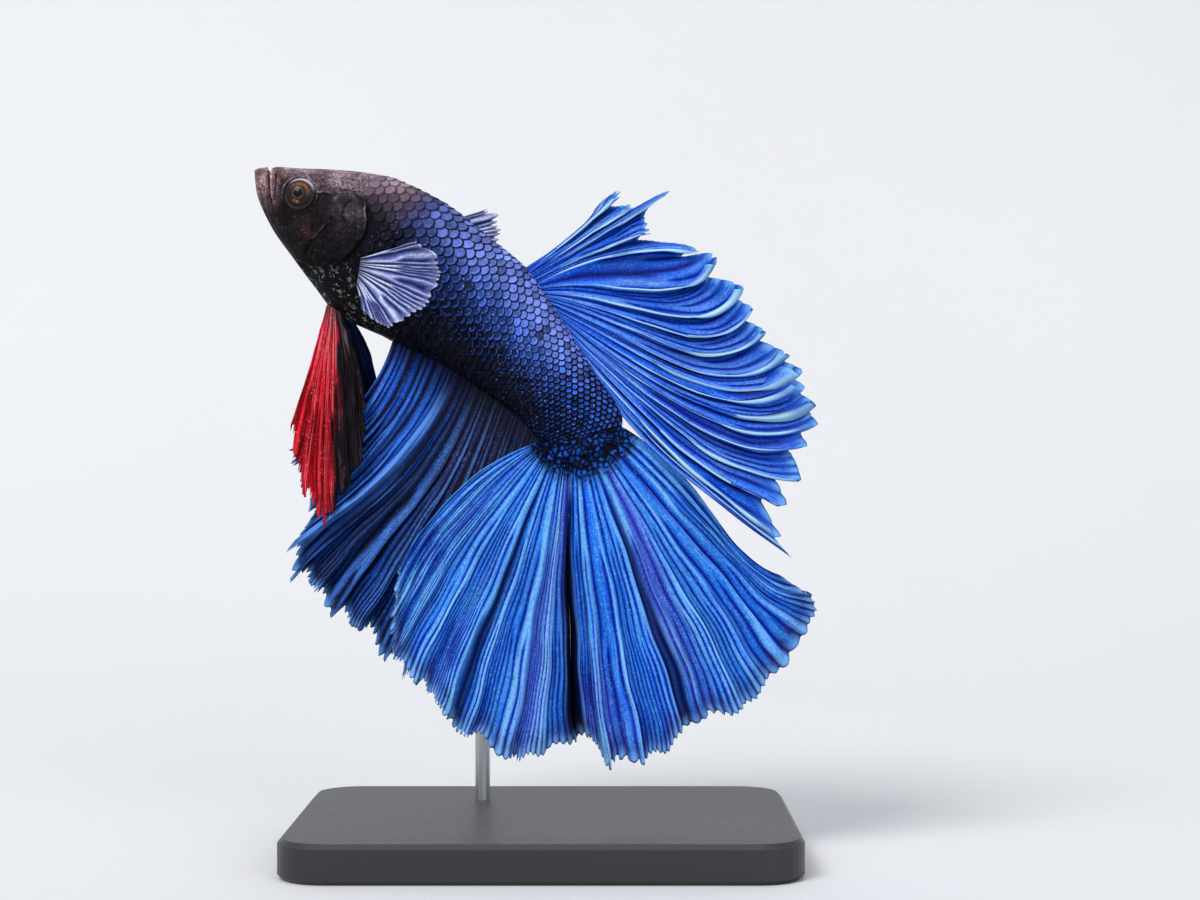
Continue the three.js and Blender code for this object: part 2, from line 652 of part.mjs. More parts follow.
const FINS = {
  dorsal_fin: [DORSAL_FIN, FIN],
  anal_fin: [ANAL_FIN, FIN],
  caudal_fin: [CAUDAL_FIN, FIN],
  pelvic_fin_left: [PELVIC_FIN_LEFT, RED_FIN],
  pelvic_fin_right: [PELVIC_FIN_RIGHT, RED_FIN],
  pectoral_fin_left: [PECTORAL_FIN_LEFT, PALE_FIN],
  pectoral_fin_right: [PECTORAL_FIN_RIGHT, PALE_FIN],
};
for (const [name, [shape, material]] of Object.entries(FINS))
  add(name, sheet(finGrid(shape)).subtract(cleared), material);

add("stand_base", standBase(), LACQUER);
add("stand_rod", rod, STEEL);

export default betta;
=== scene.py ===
"""A male halfmoon betta on a plain display stand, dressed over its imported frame.

One skin stands for the head, jaw, gill covers, trunk and tail stem. Overlapping scales lie over it,
every fin is a thin closed web with branching rays, and the eyes are pieces of their own.
Shapes are worked out in millimetres, in the frame's axes, and written to the meshes in metres.
"""

import logging
import math
from dataclasses import dataclass
from enum import Enum
from typing import Any, Callable, Sequence

import bpy
import numpy as np
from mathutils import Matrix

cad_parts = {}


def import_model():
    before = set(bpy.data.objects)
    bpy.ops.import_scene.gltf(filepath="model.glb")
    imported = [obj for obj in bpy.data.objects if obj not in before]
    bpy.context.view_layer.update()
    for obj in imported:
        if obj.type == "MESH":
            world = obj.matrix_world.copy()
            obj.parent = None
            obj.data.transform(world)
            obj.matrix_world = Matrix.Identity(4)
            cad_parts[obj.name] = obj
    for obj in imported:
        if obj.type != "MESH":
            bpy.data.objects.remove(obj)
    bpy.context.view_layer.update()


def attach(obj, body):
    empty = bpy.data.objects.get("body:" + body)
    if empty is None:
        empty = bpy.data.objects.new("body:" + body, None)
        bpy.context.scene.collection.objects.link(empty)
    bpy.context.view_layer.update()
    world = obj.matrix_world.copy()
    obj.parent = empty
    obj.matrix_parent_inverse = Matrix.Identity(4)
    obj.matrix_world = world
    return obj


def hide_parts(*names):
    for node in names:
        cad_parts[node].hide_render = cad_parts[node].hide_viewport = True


log = logging.getLogger("betta")

MM = 0.001
TURN = 2.0 * math.pi
Array = np.ndarray
Colour = tuple[float, float, float]
Layer = tuple[Any, Any]  # the share of a layer that shows, from 0 to 1, and its colour


# ---- numbers and curves ----


def srgb(red: float, green: float, blue: float) -> Colour:
    """A colour given in screen values, as linear light.

    Args:
        red: the red, from 0 to 255.
        green: the green.
        blue: the blue.

    Returns:
        The same colour, each part from 0 to 1.
    """
    return tuple(
        c / 12.92 if c <= 0.04045 else ((c + 0.055) / 1.055) ** 2.4
        for c in (red / 255.0, green / 255.0, blue / 255.0)
    )


def smooth(low: float, high: float, value: Array) -> Array:
    """A step from 0 at low to 1 at high, with soft ends.

    Args:
        low: where the step starts; it may lie above high, for a falling step.
        high: where it ends.
        value: the places to read it at.

    Returns:
        The step's height at each place.
    """
    share = np.clip((np.asarray(value, float) - low) / (high - low), 0.0, 1.0)
    return share * share * (3.0 - 2.0 * share)


def bump_at(distance: Array, width: float) -> Array:
    """A round bump, 1 at no distance and gone by about twice the width."""
    return np.exp(-((np.asarray(distance) / width) ** 2))


def blend(under: Array, *layers: Layer) -> Array:
    """Lays colours over others, one layer after another.

    Args:
        under: the lowest colours, one row each.
        layers: each next layer's share in every row, and its colour or its rows of colour.

    Returns:
        The mixed colours.
    """
    for share, over in layers:
        amount = np.clip(share, 0.0, 1.0)[..., None]
        under = under * (1.0 - amount) + np.asarray(over) * amount
    return under


def rows_of(colour: Colour, count: int) -> Array:
    """The same colour in every row."""
    return np.tile(np.array(colour), (count, 1))


def unit(vectors: Array) -> Array:
    """The same vectors at length 1."""
    return vectors / np.maximum(np.linalg.norm(vectors, axis=-1, keepdims=True), 1e-12)


class Keyed:
    """A smooth curve through keys of place and value that never overshoots them."""

    def __init__(self, keys: Sequence[tuple[float, float]]) -> None:
        """Works out the curve's slope at each key.

        Args:
            keys: the places, rising, each with its value.
        """
        self.place, self.value = np.array(keys, float).T
        slope = np.diff(self.value) / np.diff(self.place)
        both = slope[:-1] + slope[1:]
        product = slope[:-1] * slope[1:]
        inner = np.where(product <= 0, 0.0, 2.0 * product / np.where(both == 0, 1.0, both))
        self.slope = np.concatenate([slope[:1], inner, slope[-1:]])

    def __call__(self, place: Array) -> Array:
        """Reads the curve.

        Args:
            place: the places to read it at.

        Returns:
            The value at each place.
        """
        place = np.asarray(place, float)
        i = np.clip(np.searchsorted(self.place, place) - 1, 0, len(self.place) - 2)
        width = self.place[i + 1] - self.place[i]
        t = np.clip((place - self.place[i]) / width, 0.0, 1.0)
        rest = 1.0 - t
        return (
            self.value[i] * rest * rest * (1 + 2 * t)
            + self.slope[i] * width * rest * rest * t
            + self.value[i + 1] * t * t * (3 - 2 * t)
            - self.slope[i + 1] * width * t * t * rest
        )


# ---- meshes ----


def start_piece(name: str) -> bpy.types.Object:
    """Names the primitive that was just added.

    Args:
        name: the piece's name.

    Returns:
        The piece.
    """
    piece = bpy.context.object
    piece.name = name
    piece.data.name = name
    return piece


def read_points(piece: bpy.types.Object) -> Array:
    """The vertices of a piece, one row each."""
    points = np.empty(len(piece.data.vertices) * 3)
    piece.data.vertices.foreach_get("co", points)
    return points.reshape(-1, 3)


def write_points(piece: bpy.types.Object, points_mm: Array) -> None:
    """Moves the vertices of a piece to these places, given in millimetres."""
    piece.data.vertices.foreach_set("co", (points_mm * MM).ravel())
    piece.data.update()


def keep_values(piece: bpy.types.Object, name: str, values: Array) -> None:
    """Stores one number, vector or colour for each vertex, for the piece's material to read.

    Args:
        piece: the piece.
        name: the attribute's name.
        values: one row for each vertex: a number, three of a vector, or four of a colour.
    """
    columns = 1 if values.ndim == 1 else values.shape[1]
    kind = {1: "FLOAT", 3: "FLOAT_VECTOR", 4: "FLOAT_COLOR"}[columns]
    field = {1: "value", 3: "vector", 4: "color"}[columns]
    attribute = piece.data.attributes.new(name, kind, "POINT")
    attribute.data.foreach_set(field, np.ascontiguousarray(values, float).ravel())


def keep_pigment(piece: bpy.types.Object, colours: Array) -> None:
    """Stores the piece's painted colour at each vertex."""
    opaque = np.ones((len(colours), 1))
    keep_values(piece, "pigment", np.hstack([np.clip(colours, 0.0, 1.0), opaque]))


def deselect() -> None:
    """Leaves nothing selected, in object mode."""
    if bpy.context.mode != "OBJECT":
        bpy.ops.object.mode_set(mode="OBJECT")
    bpy.ops.object.select_all(action="DESELECT")


def close_up(piece: bpy.types.Object, weld_mm: float) -> None:
    """Welds a piece's seams, turns its faces outwards and shades it smooth.

    Args:
        piece: the piece, whose mesh becomes one closed surface.
        weld_mm: vertices nearer than this become one.
    """
    deselect()
    bpy.context.view_layer.objects.active = piece
    piece.select_set(True)
    bpy.ops.object.mode_set(mode="EDIT")
    bpy.ops.mesh.select_all(action="SELECT")
    bpy.ops.mesh.remove_doubles(threshold=weld_mm * MM)
    bpy.ops.mesh.normals_make_consistent(inside=False)
    bpy.ops.object.mode_set(mode="OBJECT")
    bpy.ops.object.shade_smooth()
    deselect()


class Slot(Enum):
    """The record's material slots that new pieces take their finish from."""

    FLANK = "flank_skin"
    BLUE_FIN = "fin_blue"
    RED_FIN = "pelvic_red"
    PALE_FIN = "pectoral_pale"
    EYE = "eye"


def hand_over(
    piece: bpy.types.Object, material: bpy.types.Material, nodes: Sequence[str] = ()
) -> None:
    """Dresses a finished piece and ties it to the frame.

    Args:
        piece: the finished piece.
        material: its material.
        nodes: the CAD nodes that it stands for.
    """
    piece.data.materials.clear()
    piece.data.materials.append(material)
    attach(piece, "root")
    if nodes:
        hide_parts(*nodes)
    log.info("%s: %d faces", piece.name, len(piece.data.polygons))


# ---- materials ----


def maths_method(operation: str) -> Callable[["Value", Any], "Value"]:
    """A method that puts a Math node of one kind behind a value."""
    return lambda value, other: value.maths(operation, other)


class Value:
    """One output of a tree's nodes, for writing shader maths as an expression."""

    def __init__(self, tree: "Nodes", socket: bpy.types.NodeSocket) -> None:
        """Keeps the socket and the tree it belongs to."""
        self.tree = tree
        self.socket = socket

    def maths(self, operation: str, *others: Any) -> "Value":
        """A Math node that works on this value and the others, in that order."""
        inputs = dict(enumerate((self, *others)))
        return self.tree.node("ShaderNodeMath", {"operation": operation}, inputs)

    def __rsub__(self, other: float) -> "Value":
        """The other less this."""
        return (self * -1.0) + other

    __add__ = __radd__ = maths_method("ADD")
    __mul__ = __rmul__ = maths_method("MULTIPLY")
    __sub__ = maths_method("SUBTRACT")
    __truediv__ = maths_method("DIVIDE")
    __pow__ = maths_method("POWER")

    def step(self, low: float, high: float) -> "Value":
        """A soft step from 0 where this is low to 1 where it is high."""
        inputs = {"Value": self, "From Min": low, "From Max": high}
        return self.tree.node("ShaderNodeMapRange", {"interpolation_type": "SMOOTHSTEP"}, inputs)

    def near(self, far: float, close: float) -> "Value":
        """1 where this is within close of 0, either way, and 0 where it is farther than far."""
        return self.maths("ABSOLUTE").step(far, close)


class Nodes:
    """One tree of nodes, of a material or of the world."""

    def __init__(self, owner: bpy.types.Material | bpy.types.World) -> None:
        """Empties the owner's tree."""
        owner.use_nodes = True
        self.tree = owner.node_tree
        self.tree.nodes.clear()

    def node(
        self, kind: str, settings: dict[str, Any], inputs: dict[Any, Any], output: int | str = 0
    ) -> Value:
        """Adds a node.

        Args:
            kind: the node's type.
            settings: its own settings; "stops" holds a ramp's places and colours.
            inputs: a value, a number or a colour for each named or numbered socket.
            output: the output that is handed back.

        Returns:
            The chosen output.
        """
        made = self.tree.nodes.new(kind)
        for name, value in settings.items():
            if name == "stops":
                self.set_stops(made.color_ramp, value)
            else:
                setattr(made, name, value)
        for name, value in inputs.items():
            socket = made.inputs[name]
            if isinstance(value, Value):
                self.tree.links.new(value.socket, socket)
            elif isinstance(value, tuple) and socket.type == "RGBA":
                socket.default_value = (*value[:3], 1.0)
            else:
                socket.default_value = value
        return Value(self, made.outputs[output])

    @staticmethod
    def set_stops(ramp: bpy.types.ColorRamp, stops: Sequence[tuple[float, Colour]]) -> None:
        """Gives a colour ramp its stops.

        Args:
            ramp: the ramp.
            stops: the place of each stop, rising, and its colour.
        """
        while len(ramp.elements) > 1:
            ramp.elements.remove(ramp.elements[-1])
        ramp.elements[0].position = stops[0][0]
        ramp.elements[0].color = (*stops[0][1], 1.0)
        for place, colour in stops[1:]:
            ramp.elements.new(place).color = (*colour, 1.0)

    def outputs(self, kind: str, inputs: dict[Any, Any], names: Sequence[str]) -> tuple[Value, ...]:
        """Adds a node of which several outputs are read.

        Args:
            kind: the node's type.
            inputs: a value or a number for each of its sockets.
            names: the outputs.

        Returns:
            The outputs, in that order.
        """
        sockets = self.node(kind, {}, inputs).socket.node.outputs
        return tuple(Value(self, sockets[name]) for name in names)

    def show(self, kind: str, shader: Value) -> None:
        """Ends the tree in an output of this kind that shows the shader."""
        output = self.tree.nodes.new(kind)
        self.tree.links.new(shader.socket, output.inputs["Surface"])


class Paint(Nodes):
    """One material that is built up from nodes."""

    def __init__(self, name: str) -> None:
        """Starts an empty material."""
        self.material = bpy.data.materials.new(name)
        super().__init__(self.material)

    def kept(self, name: str, output: str = "Fac") -> Value:
        """A number, vector or colour that the piece keeps for each vertex."""
        settings = {"attribute_name": name, "attribute_type": "GEOMETRY"}
        return self.node("ShaderNodeAttribute", settings, {}, output)

    def place(self) -> Value:
        """The point's place on the object, in metres."""
        return self.node("ShaderNodeTexCoord", {}, {}, "Object")

    def split(self, vector: Value) -> tuple[Value, ...]:
        """The three parts of a vector."""
        return self.outputs("ShaderNodeSeparateXYZ", {0: vector}, "XYZ")

    def joined(self, first: Any, second: Any, third: Any) -> Value:
        """A vector from its three parts."""
        return self.node("ShaderNodeCombineXYZ", {}, {0: first, 1: second, 2: third})

    def stretched(self, vector: Value, scale: Sequence[float]) -> Value:
        """A place that is scaled by its own amount along each axis."""
        return self.node("ShaderNodeMapping", {}, {"Vector": vector, "Scale": tuple(scale)})

    def scaled(self, vector: Value, scale: Any) -> Value:
        """A vector or a colour times a number."""
        return self.node("ShaderNodeVectorMath", {"operation": "SCALE"}, {0: vector, "Scale": scale})

    def warped(self, vector: Value, scale: float, reach: float) -> Value:
        """A place that is shifted about by noise, so that what is drawn there looks less regular."""
        shift = self.node("ShaderNodeTexNoise", {}, {"Vector": vector, "Scale": scale}, "Color")
        inputs = {0: vector, 1: self.scaled(shift, 2.0 * reach)}
        return self.node("ShaderNodeVectorMath", {"operation": "ADD"}, inputs)

    def noise(self, vector: Value, scale: float, detail: float = 3.0, roughness: float = 0.55) -> Value:
        """Soft noise from 0 to 1."""
        inputs = {"Vector": vector, "Scale": scale, "Detail": detail, "Roughness": roughness}
        return self.node("ShaderNodeTexNoise", {}, inputs, "Fac")

    def cells(self, vector: Value, scale: float, feature: str) -> Value:
        """The distance to the middle or the edge of scattered cells."""
        inputs = {"Vector": vector, "Scale": scale}
        return self.node("ShaderNodeTexVoronoi", {"feature": feature}, inputs, "Distance")

    def mixed(self, under: Any, *layers: Layer) -> Value:
        """Lays colours over one another.

        Args:
            under: the lowest colour.
            layers: each next layer's share and its colour.

        Returns:
            The mixed colour.
        """
        settings = {"data_type": "RGBA", "blend_type": "MIX", "clamp_factor": True}
        for share, over in layers:
            under = self.node("ShaderNodeMix", settings, {0: share, 6: under, 7: over}, 2)
        return under

    def bump(self, height: Value, distance_mm: float, strength: float) -> Value:
        """A normal that is tilted by a height.

        Args:
            height: the height, from 0 to 1.
            distance_mm: how far a height of 1 stands out.
            strength: how much of the tilt is kept.

        Returns:
            The tilted normal.
        """
        inputs = {"Height": height, "Distance": distance_mm * MM, "Strength": strength}
        return self.node("ShaderNodeBump", {}, inputs, "Normal")

    def finish(self, sockets: dict[str, Any]) -> bpy.types.Material:
        """Closes the material with a Principled shader.

        Args:
            sockets: a value, a number or a colour for each of the shader's sockets.

        Returns:
            The finished material.
        """
        shader = self.node("ShaderNodeBsdfPrincipled", {}, sockets)
        self.show("ShaderNodeOutputMaterial", shader)
        return self.material


# ---- the body's shape ----


@dataclass(frozen=True)
class Section:
    """One cross-section of the body, in millimetres.

    top and bottom are the back's and the belly's outline, x and z; y is the depth of the middle;
    half is half the greatest width; roll is how far the back leans to -Y, in degrees.
    """

    top: tuple[float, float]
    bottom: tuple[float, float]
    y: float
    half: float
    roll: float


SECTIONS = (
    Section((-28.0, 72.0), (-30.8, 71.9), 1.2, 1.2, 6),  # lips
    Section((-26.6, 71.9), (-30.55, 69.4), 1.3, 2.2, 6),  # snout
    Section((-23.8, 71.8), (-29.1, 65.8), 1.5, 3.2, 8),  # eye
    Section((-20.5, 71.6), (-26.7, 62.3), 1.7, 3.9, 9),  # cheek
    Section((-16.8, 71.0), (-24.4, 59.2), 1.8, 4.2, 10),  # gill
    Section((-13.1, 69.5), (-22.1, 56.4), 1.7, 4.3, 11),  # shoulder
    Section((-9.5, 67.4), (-19.3, 55.0), 1.3, 4.3, 12),  # breast
    Section((-5.8, 64.4), (-15.6, 53.4), 0.6, 4.0, 12),  # belly
    Section((-1.9, 61.1), (-10.0, 50.6), -0.4, 3.6, 12),  # front of the dorsal fin
    Section((1.7, 55.9), (-5.4, 47.5), -1.7, 3.0, 10),  # rear of the dorsal fin
    Section((5.2, 50.3), (-2.2, 45.0), -3.0, 2.4, 8),  # stem
    Section((8.2, 45.1), (0.0, 42.4), -4.4, 1.3, 6),  # tail base
    Section((6.8, 41.7), (1.2, 41.1), -4.9, 0.45, 5),  # tail end
)
LAST = len(SECTIONS) - 1


@dataclass
class Body:
    """The body's outside, read by section number and by the turn around it.

    A turn of a quarter circle is the back, 0 the left side and minus a quarter the belly.
    waist is the widest level, as a share of the way from belly to back. The skin lies coat_depth
    under the outside, and nose_round and tail_round are how many sections each end is rounded over.
    near_step and normal_step are how far apart places are read to find a direction.
    """

    waist: float = 0.54
    coat_depth: float = 0.09
    nose_round: float = 0.17
    tail_round: float = 1.1
    table_rows: int = 480
    table_columns: int = 384
    near_step: float = 0.05
    normal_step: float = 0.01

    def __post_init__(self) -> None:
        """Draws the curves through the sections and the table that scales are laid on."""
        self.top_x = self.curve(lambda section: section.top[0])
        self.top_z = self.curve(lambda section: section.top[1])
        self.bottom_x = self.curve(lambda section: section.bottom[0])
        self.bottom_z = self.curve(lambda section: section.bottom[1])
        self.depth_y = self.curve(lambda section: section.y)
        self.half = self.curve(lambda section: section.half)
        self.roll = self.curve(lambda section: section.roll)
        self.fill_table()

    @staticmethod
    def curve(measure: Callable[[Section], float]) -> Keyed:
        """A smooth curve along the body, through one measure of every section."""
        return Keyed([(i, measure(section)) for i, section in enumerate(SECTIONS)])

    def middle(self, t: Array) -> Array:
        """Places in the middle of the body.

        Args:
            t: section numbers.

        Returns:
            The places, in millimetres.
        """
        share = self.waist
        x = self.bottom_x(t) * (1 - share) + self.top_x(t) * share
        z = self.bottom_z(t) * (1 - share) + self.top_z(t) * share
        return np.stack([x, self.depth_y(t), z], -1)

    def pace(self, t: Array) -> Array:
        """How long one section is, along the middle, at each section number."""
        step = self.near_step
        return np.linalg.norm(self.middle(t + step) - self.middle(t - step), axis=-1) / (2 * step)

    def frame(self, t: Array) -> tuple[Array, Array, Array, Array]:
        """The body's outline and directions.

        Args:
            t: section numbers.

        Returns:
            The back, the belly, the middle and the leftward direction at each.
        """
        t = np.asarray(t, float)
        top = np.stack([self.top_x(t), self.depth_y(t), self.top_z(t)], -1)
        bottom = np.stack([self.bottom_x(t), self.depth_y(t), self.bottom_z(t)], -1)
        depth = np.linalg.norm(top - bottom, axis=-1)
        lean = np.tan(np.radians(self.roll(t))) * depth
        top[..., 1] -= lean * (1 - self.waist)
        bottom[..., 1] += lean * self.waist
        ahead = self.middle(np.minimum(t + self.near_step, LAST))
        behind = self.middle(np.maximum(t - self.near_step, 0))
        left = unit(np.cross(ahead - behind, top - bottom))
        return top, bottom, self.middle(t), left

    def rounding(self, t: Array) -> Array:
        """The share of its full size that the body has at each section number, round at both ends."""
        nose = np.clip(1 - t / self.nose_round, 0, 1)
        tail = np.clip(1 - (LAST - t) / self.tail_round, 0, 1)
        return np.sqrt(1 - nose**2) * np.sqrt(np.maximum(1 - tail**2, 0))

    def point(self, t: Array, turn: Array) -> Array:
        """Places on the skin.

        Args:
            t: section numbers.
            turn: turns around the body, one for each.

        Returns:
            The places, in millimetres.
        """
        top, bottom, middle, left = self.frame(t)
        size = self.rounding(t)[..., None]
        up = top - middle
        down = bottom - middle
        up = up - unit(up) * self.coat_depth
        down = down - unit(down) * self.coat_depth
        half = (self.half(t) - self.coat_depth)[..., None]
        rise = np.sin(turn)[..., None]
        reach = np.where(rise > 0, up, down) * np.abs(rise)
        return middle + size * (left * half * np.cos(turn)[..., None] + reach)

    def normal(self, t: Array, turn: Array) -> Array:
        """Outward directions on the skin.

        Args:
            t: section numbers.
            turn: turns around the body, one for each.

        Returns:
            The directions, each of length 1.
        """
        step = self.normal_step
        end = 0.3 * step
        back = np.clip(t - step, end, LAST - end)
        front = np.clip(t + step, end, LAST - end)
        along = self.point(front, turn) - self.point(back, turn)
        around = self.point(t, turn + step) - self.point(t, turn - step)
        return unit(np.cross(along, around))

    def fill_table(self) -> None:
        """Tables the skin by section number and by the share of the way round from the back."""
        t = np.linspace(0.0, LAST, self.table_rows)
        share = np.linspace(0.0, 1.0, self.table_columns + 1)
        grid_t, grid_share = np.meshgrid(t, share, indexing="ij")
        points = self.point(grid_t, math.pi / 2 - TURN * grid_share)
        walked = np.cumsum(np.linalg.norm(np.diff(points, axis=1), axis=-1), axis=1)
        walked = np.hstack([np.zeros((len(t), 1)), walked])
        coarse = slice(None, None, 8)
        self.girth_at = Keyed(list(zip(t[coarse], walked[coarse, -1])))
        self.share_at = np.empty_like(grid_t)
        for row, length in enumerate(walked):
            self.share_at[row] = np.interp(share * max(length[-1], 1e-6), length, share)

    def turn_at(self, t: Array, round_share: Array) -> Array:
        """The turn that lies at a share of the girth, counted from the back down the left side.

        Args:
            t: section numbers.
            round_share: shares of the girth, which may run past 0 and 1.

        Returns:
            The turns.
        """
        row = np.clip(t / LAST * (self.table_rows - 1), 0, self.table_rows - 1.001)
        whole = np.floor(round_share)
        column = (round_share - whole) * self.table_columns
        i, j = row.astype(int), np.minimum(column.astype(int), self.table_columns - 1)
        a, b = row - i, column - j
        table = self.share_at
        low = table[i, j] * (1 - b) + table[i, j + 1] * b
        high = table[i + 1, j] * (1 - b) + table[i + 1, j + 1] * b
        return math.pi / 2 - TURN * (low * (1 - a) + high * a + whole)

    def left_view(self, t: Array, turn: Array) -> tuple[Array, Array]:
        """Where a place, or its like on the left side, lies in side view: x and z."""
        mirrored = np.where(np.cos(turn) < 0, math.pi - turn, turn)
        seen = self.point(t, mirrored)
        return seen[..., 0], seen[..., 2]


# ---- the head's relief ----


@dataclass(frozen=True)
class Crease:
    """A line on the side of the head, through points of x and z, that is pressed in or raised."""

    points: tuple[tuple[float, float], ...]
    depth: float
    width: float

    def distance(self, x: Array, z: Array) -> Array:
        """How far each place is from the line."""
        nearest = np.full(np.shape(x), 1e9)
        for (ax, az), (bx, bz) in zip(self.points[:-1], self.points[1:]):
            dx, dz = bx - ax, bz - az
            share = np.clip(((x - ax) * dx + (z - az) * dz) / (dx * dx + dz * dz), 0, 1)
            nearest = np.minimum(nearest, np.hypot(x - ax - share * dx, z - az - share * dz))
        return nearest


@dataclass(frozen=True)
class Round:
    """A round feature on the side of the head: its middle in x and z, and its radius."""

    x: float
    z: float
    radius: float

    def distance(self, x: Array, z: Array) -> Array:
        """How far each place is from its middle."""
        return np.hypot(x - self.x, z - self.z)


EYE = Round(-25.55, 68.8, 1.74)
GILL_COVER = Round(-23.6, 66.5, 5.2)
PIT = Round(-21.75, 68.85, 0.4)
NOSTRIL = Round(-27.75, 70.9, 0.2)
MOUTH = Crease(((-29.1, 72.6), (-29.05, 71.0), (-28.9, 69.6), (-28.75, 68.0)), -0.5, 0.15)
GAPE = Crease(((-29.15, 72.8), (-29.1, 71.6)), -1.2, 0.32)
JAW_RIM = Crease(((-29.4, 71.9), (-29.35, 70.6), (-29.2, 69.2)), 0.05, 0.09)
LIP_FOLD = Crease(((-28.15, 71.2), (-28.2, 70.0), (-28.35, 68.3)), -0.34, 0.12)
MAXILLA = Crease(((-28.6, 71.6), (-28.6, 70.0), (-28.55, 68.6)), 0.14, 0.13)
JAW_EDGE = Crease(((-30.0, 69.4), (-29.55, 67.2), (-28.8, 65.2), (-27.6, 62.9)), -0.3, 0.14)
CHEEK_BONE = Crease(((-23.7, 68.75), (-23.0, 68.8), (-22.3, 68.7)), -0.2, 0.12)
BONE_RIDGE = Crease(((-23.7, 69.0), (-23.0, 69.05), (-22.2, 68.95)), 0.08, 0.1)
BROW = Crease(((-27.4, 70.6), (-26.6, 71.2), (-25.6, 71.25), (-24.5, 70.8)), 0.08, 0.3)
CHEEK_LINE = Crease(
    ((-22.2, 66.2), (-22.7, 65.4), (-23.7, 64.5), (-24.7, 63.6), (-25.2, 62.6)), -0.2, 0.12
)
CHEEK_RIDGE = Crease(((-22.5, 65.9), (-23.4, 65.0), (-24.2, 64.2)), 0.02, 0.1)
COVER_TOP = Crease(
    ((-21.2, 69.2), (-20.2, 69.3), (-19.2, 68.4), (-18.8, 67.9), (-18.2, 67.0)), -0.24, 0.13
)
COVER_FOLD = Crease(((-20.0, 68.2), (-20.8, 67.5), (-21.0, 66.4), (-20.4, 65.2)), -0.1, 0.16)
CHIN_FLAP = Crease(((-28.6, 64.6), (-27.9, 63.3), (-26.9, 61.8), (-25.9, 60.9)), -0.4, 0.2)
# Creases pressed into the head, painted dark as painted shade, and raised ridges that carry a painted
# highlight
SHADED_CREASES = (MOUTH, LIP_FOLD, JAW_EDGE, CHEEK_BONE, CHEEK_LINE, COVER_TOP, COVER_FOLD, CHIN_FLAP)
LIT_RIDGES = (MAXILLA, JAW_RIM, CHEEK_RIDGE, BONE_RIDGE)
PRESSED = (*SHADED_CREASES, *LIT_RIDGES, GAPE, BROW)


@dataclass(frozen=True)
class Head:
    """What the head's skin adds to the body's plain outside, and where its markings lie.

    The heights and depths are in millimetres. rear_down and top_back are the directions, in side view,
    in which the gill cover's free rim and its upper end lie from its middle.
    """

    socket_depth: float = 0.95
    socket_rim: float = 0.1
    pit_depth: float = 0.2
    pit_lip: float = 0.16
    pit_lip_drop: float = 0.5
    nostril_depth: float = 0.25
    cover_lip: float = 0.06
    cover_dip: float = 0.45
    dip_reach: float = 1.1
    rear_down: tuple[float, float] = (0.57, 0.82)
    top_back: tuple[float, float] = (0.82, 0.57)

    def relief(self, x: Array, z: Array, turn: Array) -> Array:
        """How far the skin stands out at places on the head.

        Args:
            x: side view's x.
            z: side view's z.
            turn: turns around the body.

        Returns:
            The height over the plain body, in millimetres.
        """
        side = np.abs(np.cos(turn))
        height = np.zeros_like(x)
        for line in PRESSED:
            reach = 1.0 if line in (MOUTH, GAPE) else smooth(0.2, 0.5, side)
            height += reach * line.depth * bump_at(line.distance(x, z), line.width)
        from_eye = EYE.distance(x, z)
        flank = smooth(0.2, 0.45, side)
        height -= flank * self.socket_depth * (1 - smooth(0.86, 1.02, from_eye / EYE.radius))
        height += flank * self.socket_rim * bump_at(from_eye - EYE.radius * 1.06, 0.11)
        height -= flank * self.socket_rim * bump_at(from_eye - EYE.radius * 1.24, 0.14)
        height -= flank * self.pit_depth * bump_at(PIT.distance(x, z), PIT.radius)
        height += flank * self.pit_lip * bump_at(self.under_pit(x, z), 0.2)
        height -= flank * self.nostril_depth * bump_at(NOSTRIL.distance(x, z), NOSTRIL.radius)
        height += flank * self.cover_step(x, z)
        return height

    def under_pit(self, x: Array, z: Array) -> Array:
        """How far each place is from the lip under the pit behind the eye."""
        return np.hypot(x - PIT.x, z - PIT.z + self.pit_lip_drop)

    def beyond_cover(self, x: Array, z: Array) -> Array:
        """How far each place lies outside the gill cover's slightly uneven rim."""
        angle = np.arctan2(z - GILL_COVER.z, x - GILL_COVER.x)
        uneven = 0.07 * np.sin(9 * angle + 1.0) + 0.04 * np.sin(19 * angle)
        return GILL_COVER.distance(x, z) - GILL_COVER.radius + uneven

    def rear(self, x: Array, z: Array) -> Array:
        """1 along the free rim of the gill cover and 0 ahead of it."""
        behind = (x - GILL_COVER.x) * self.rear_down[0] + (GILL_COVER.z - z) * self.rear_down[1]
        return smooth(1.4, 2.2, behind) * smooth(69.3, 68.6, z)

    def cover_step(self, x: Array, z: Array) -> Array:
        """The height of the gill cover's raised edge and of the dip behind it, at each place."""
        beyond = self.beyond_cover(x, z)
        lip = self.cover_lip * bump_at(beyond + 0.3, 0.35)
        fading = np.exp(-np.clip(beyond, 0, 9) / self.dip_reach)
        dip = -self.cover_dip * smooth(-0.14, 0.16, beyond) * fading
        return self.rear(x, z) * (lip + dip)

    def within(self, x: Array, z: Array) -> Array:
        """1 on the head and 0 behind the gill cover and the nape."""
        beyond = self.beyond_cover(x, z)
        ahead = (x - GILL_COVER.x) * self.top_back[0] - (z - GILL_COVER.z) * self.top_back[1]
        return np.maximum(smooth(0.1, -0.1, beyond), smooth(0.6, -0.6, ahead))


# ---- markings ----


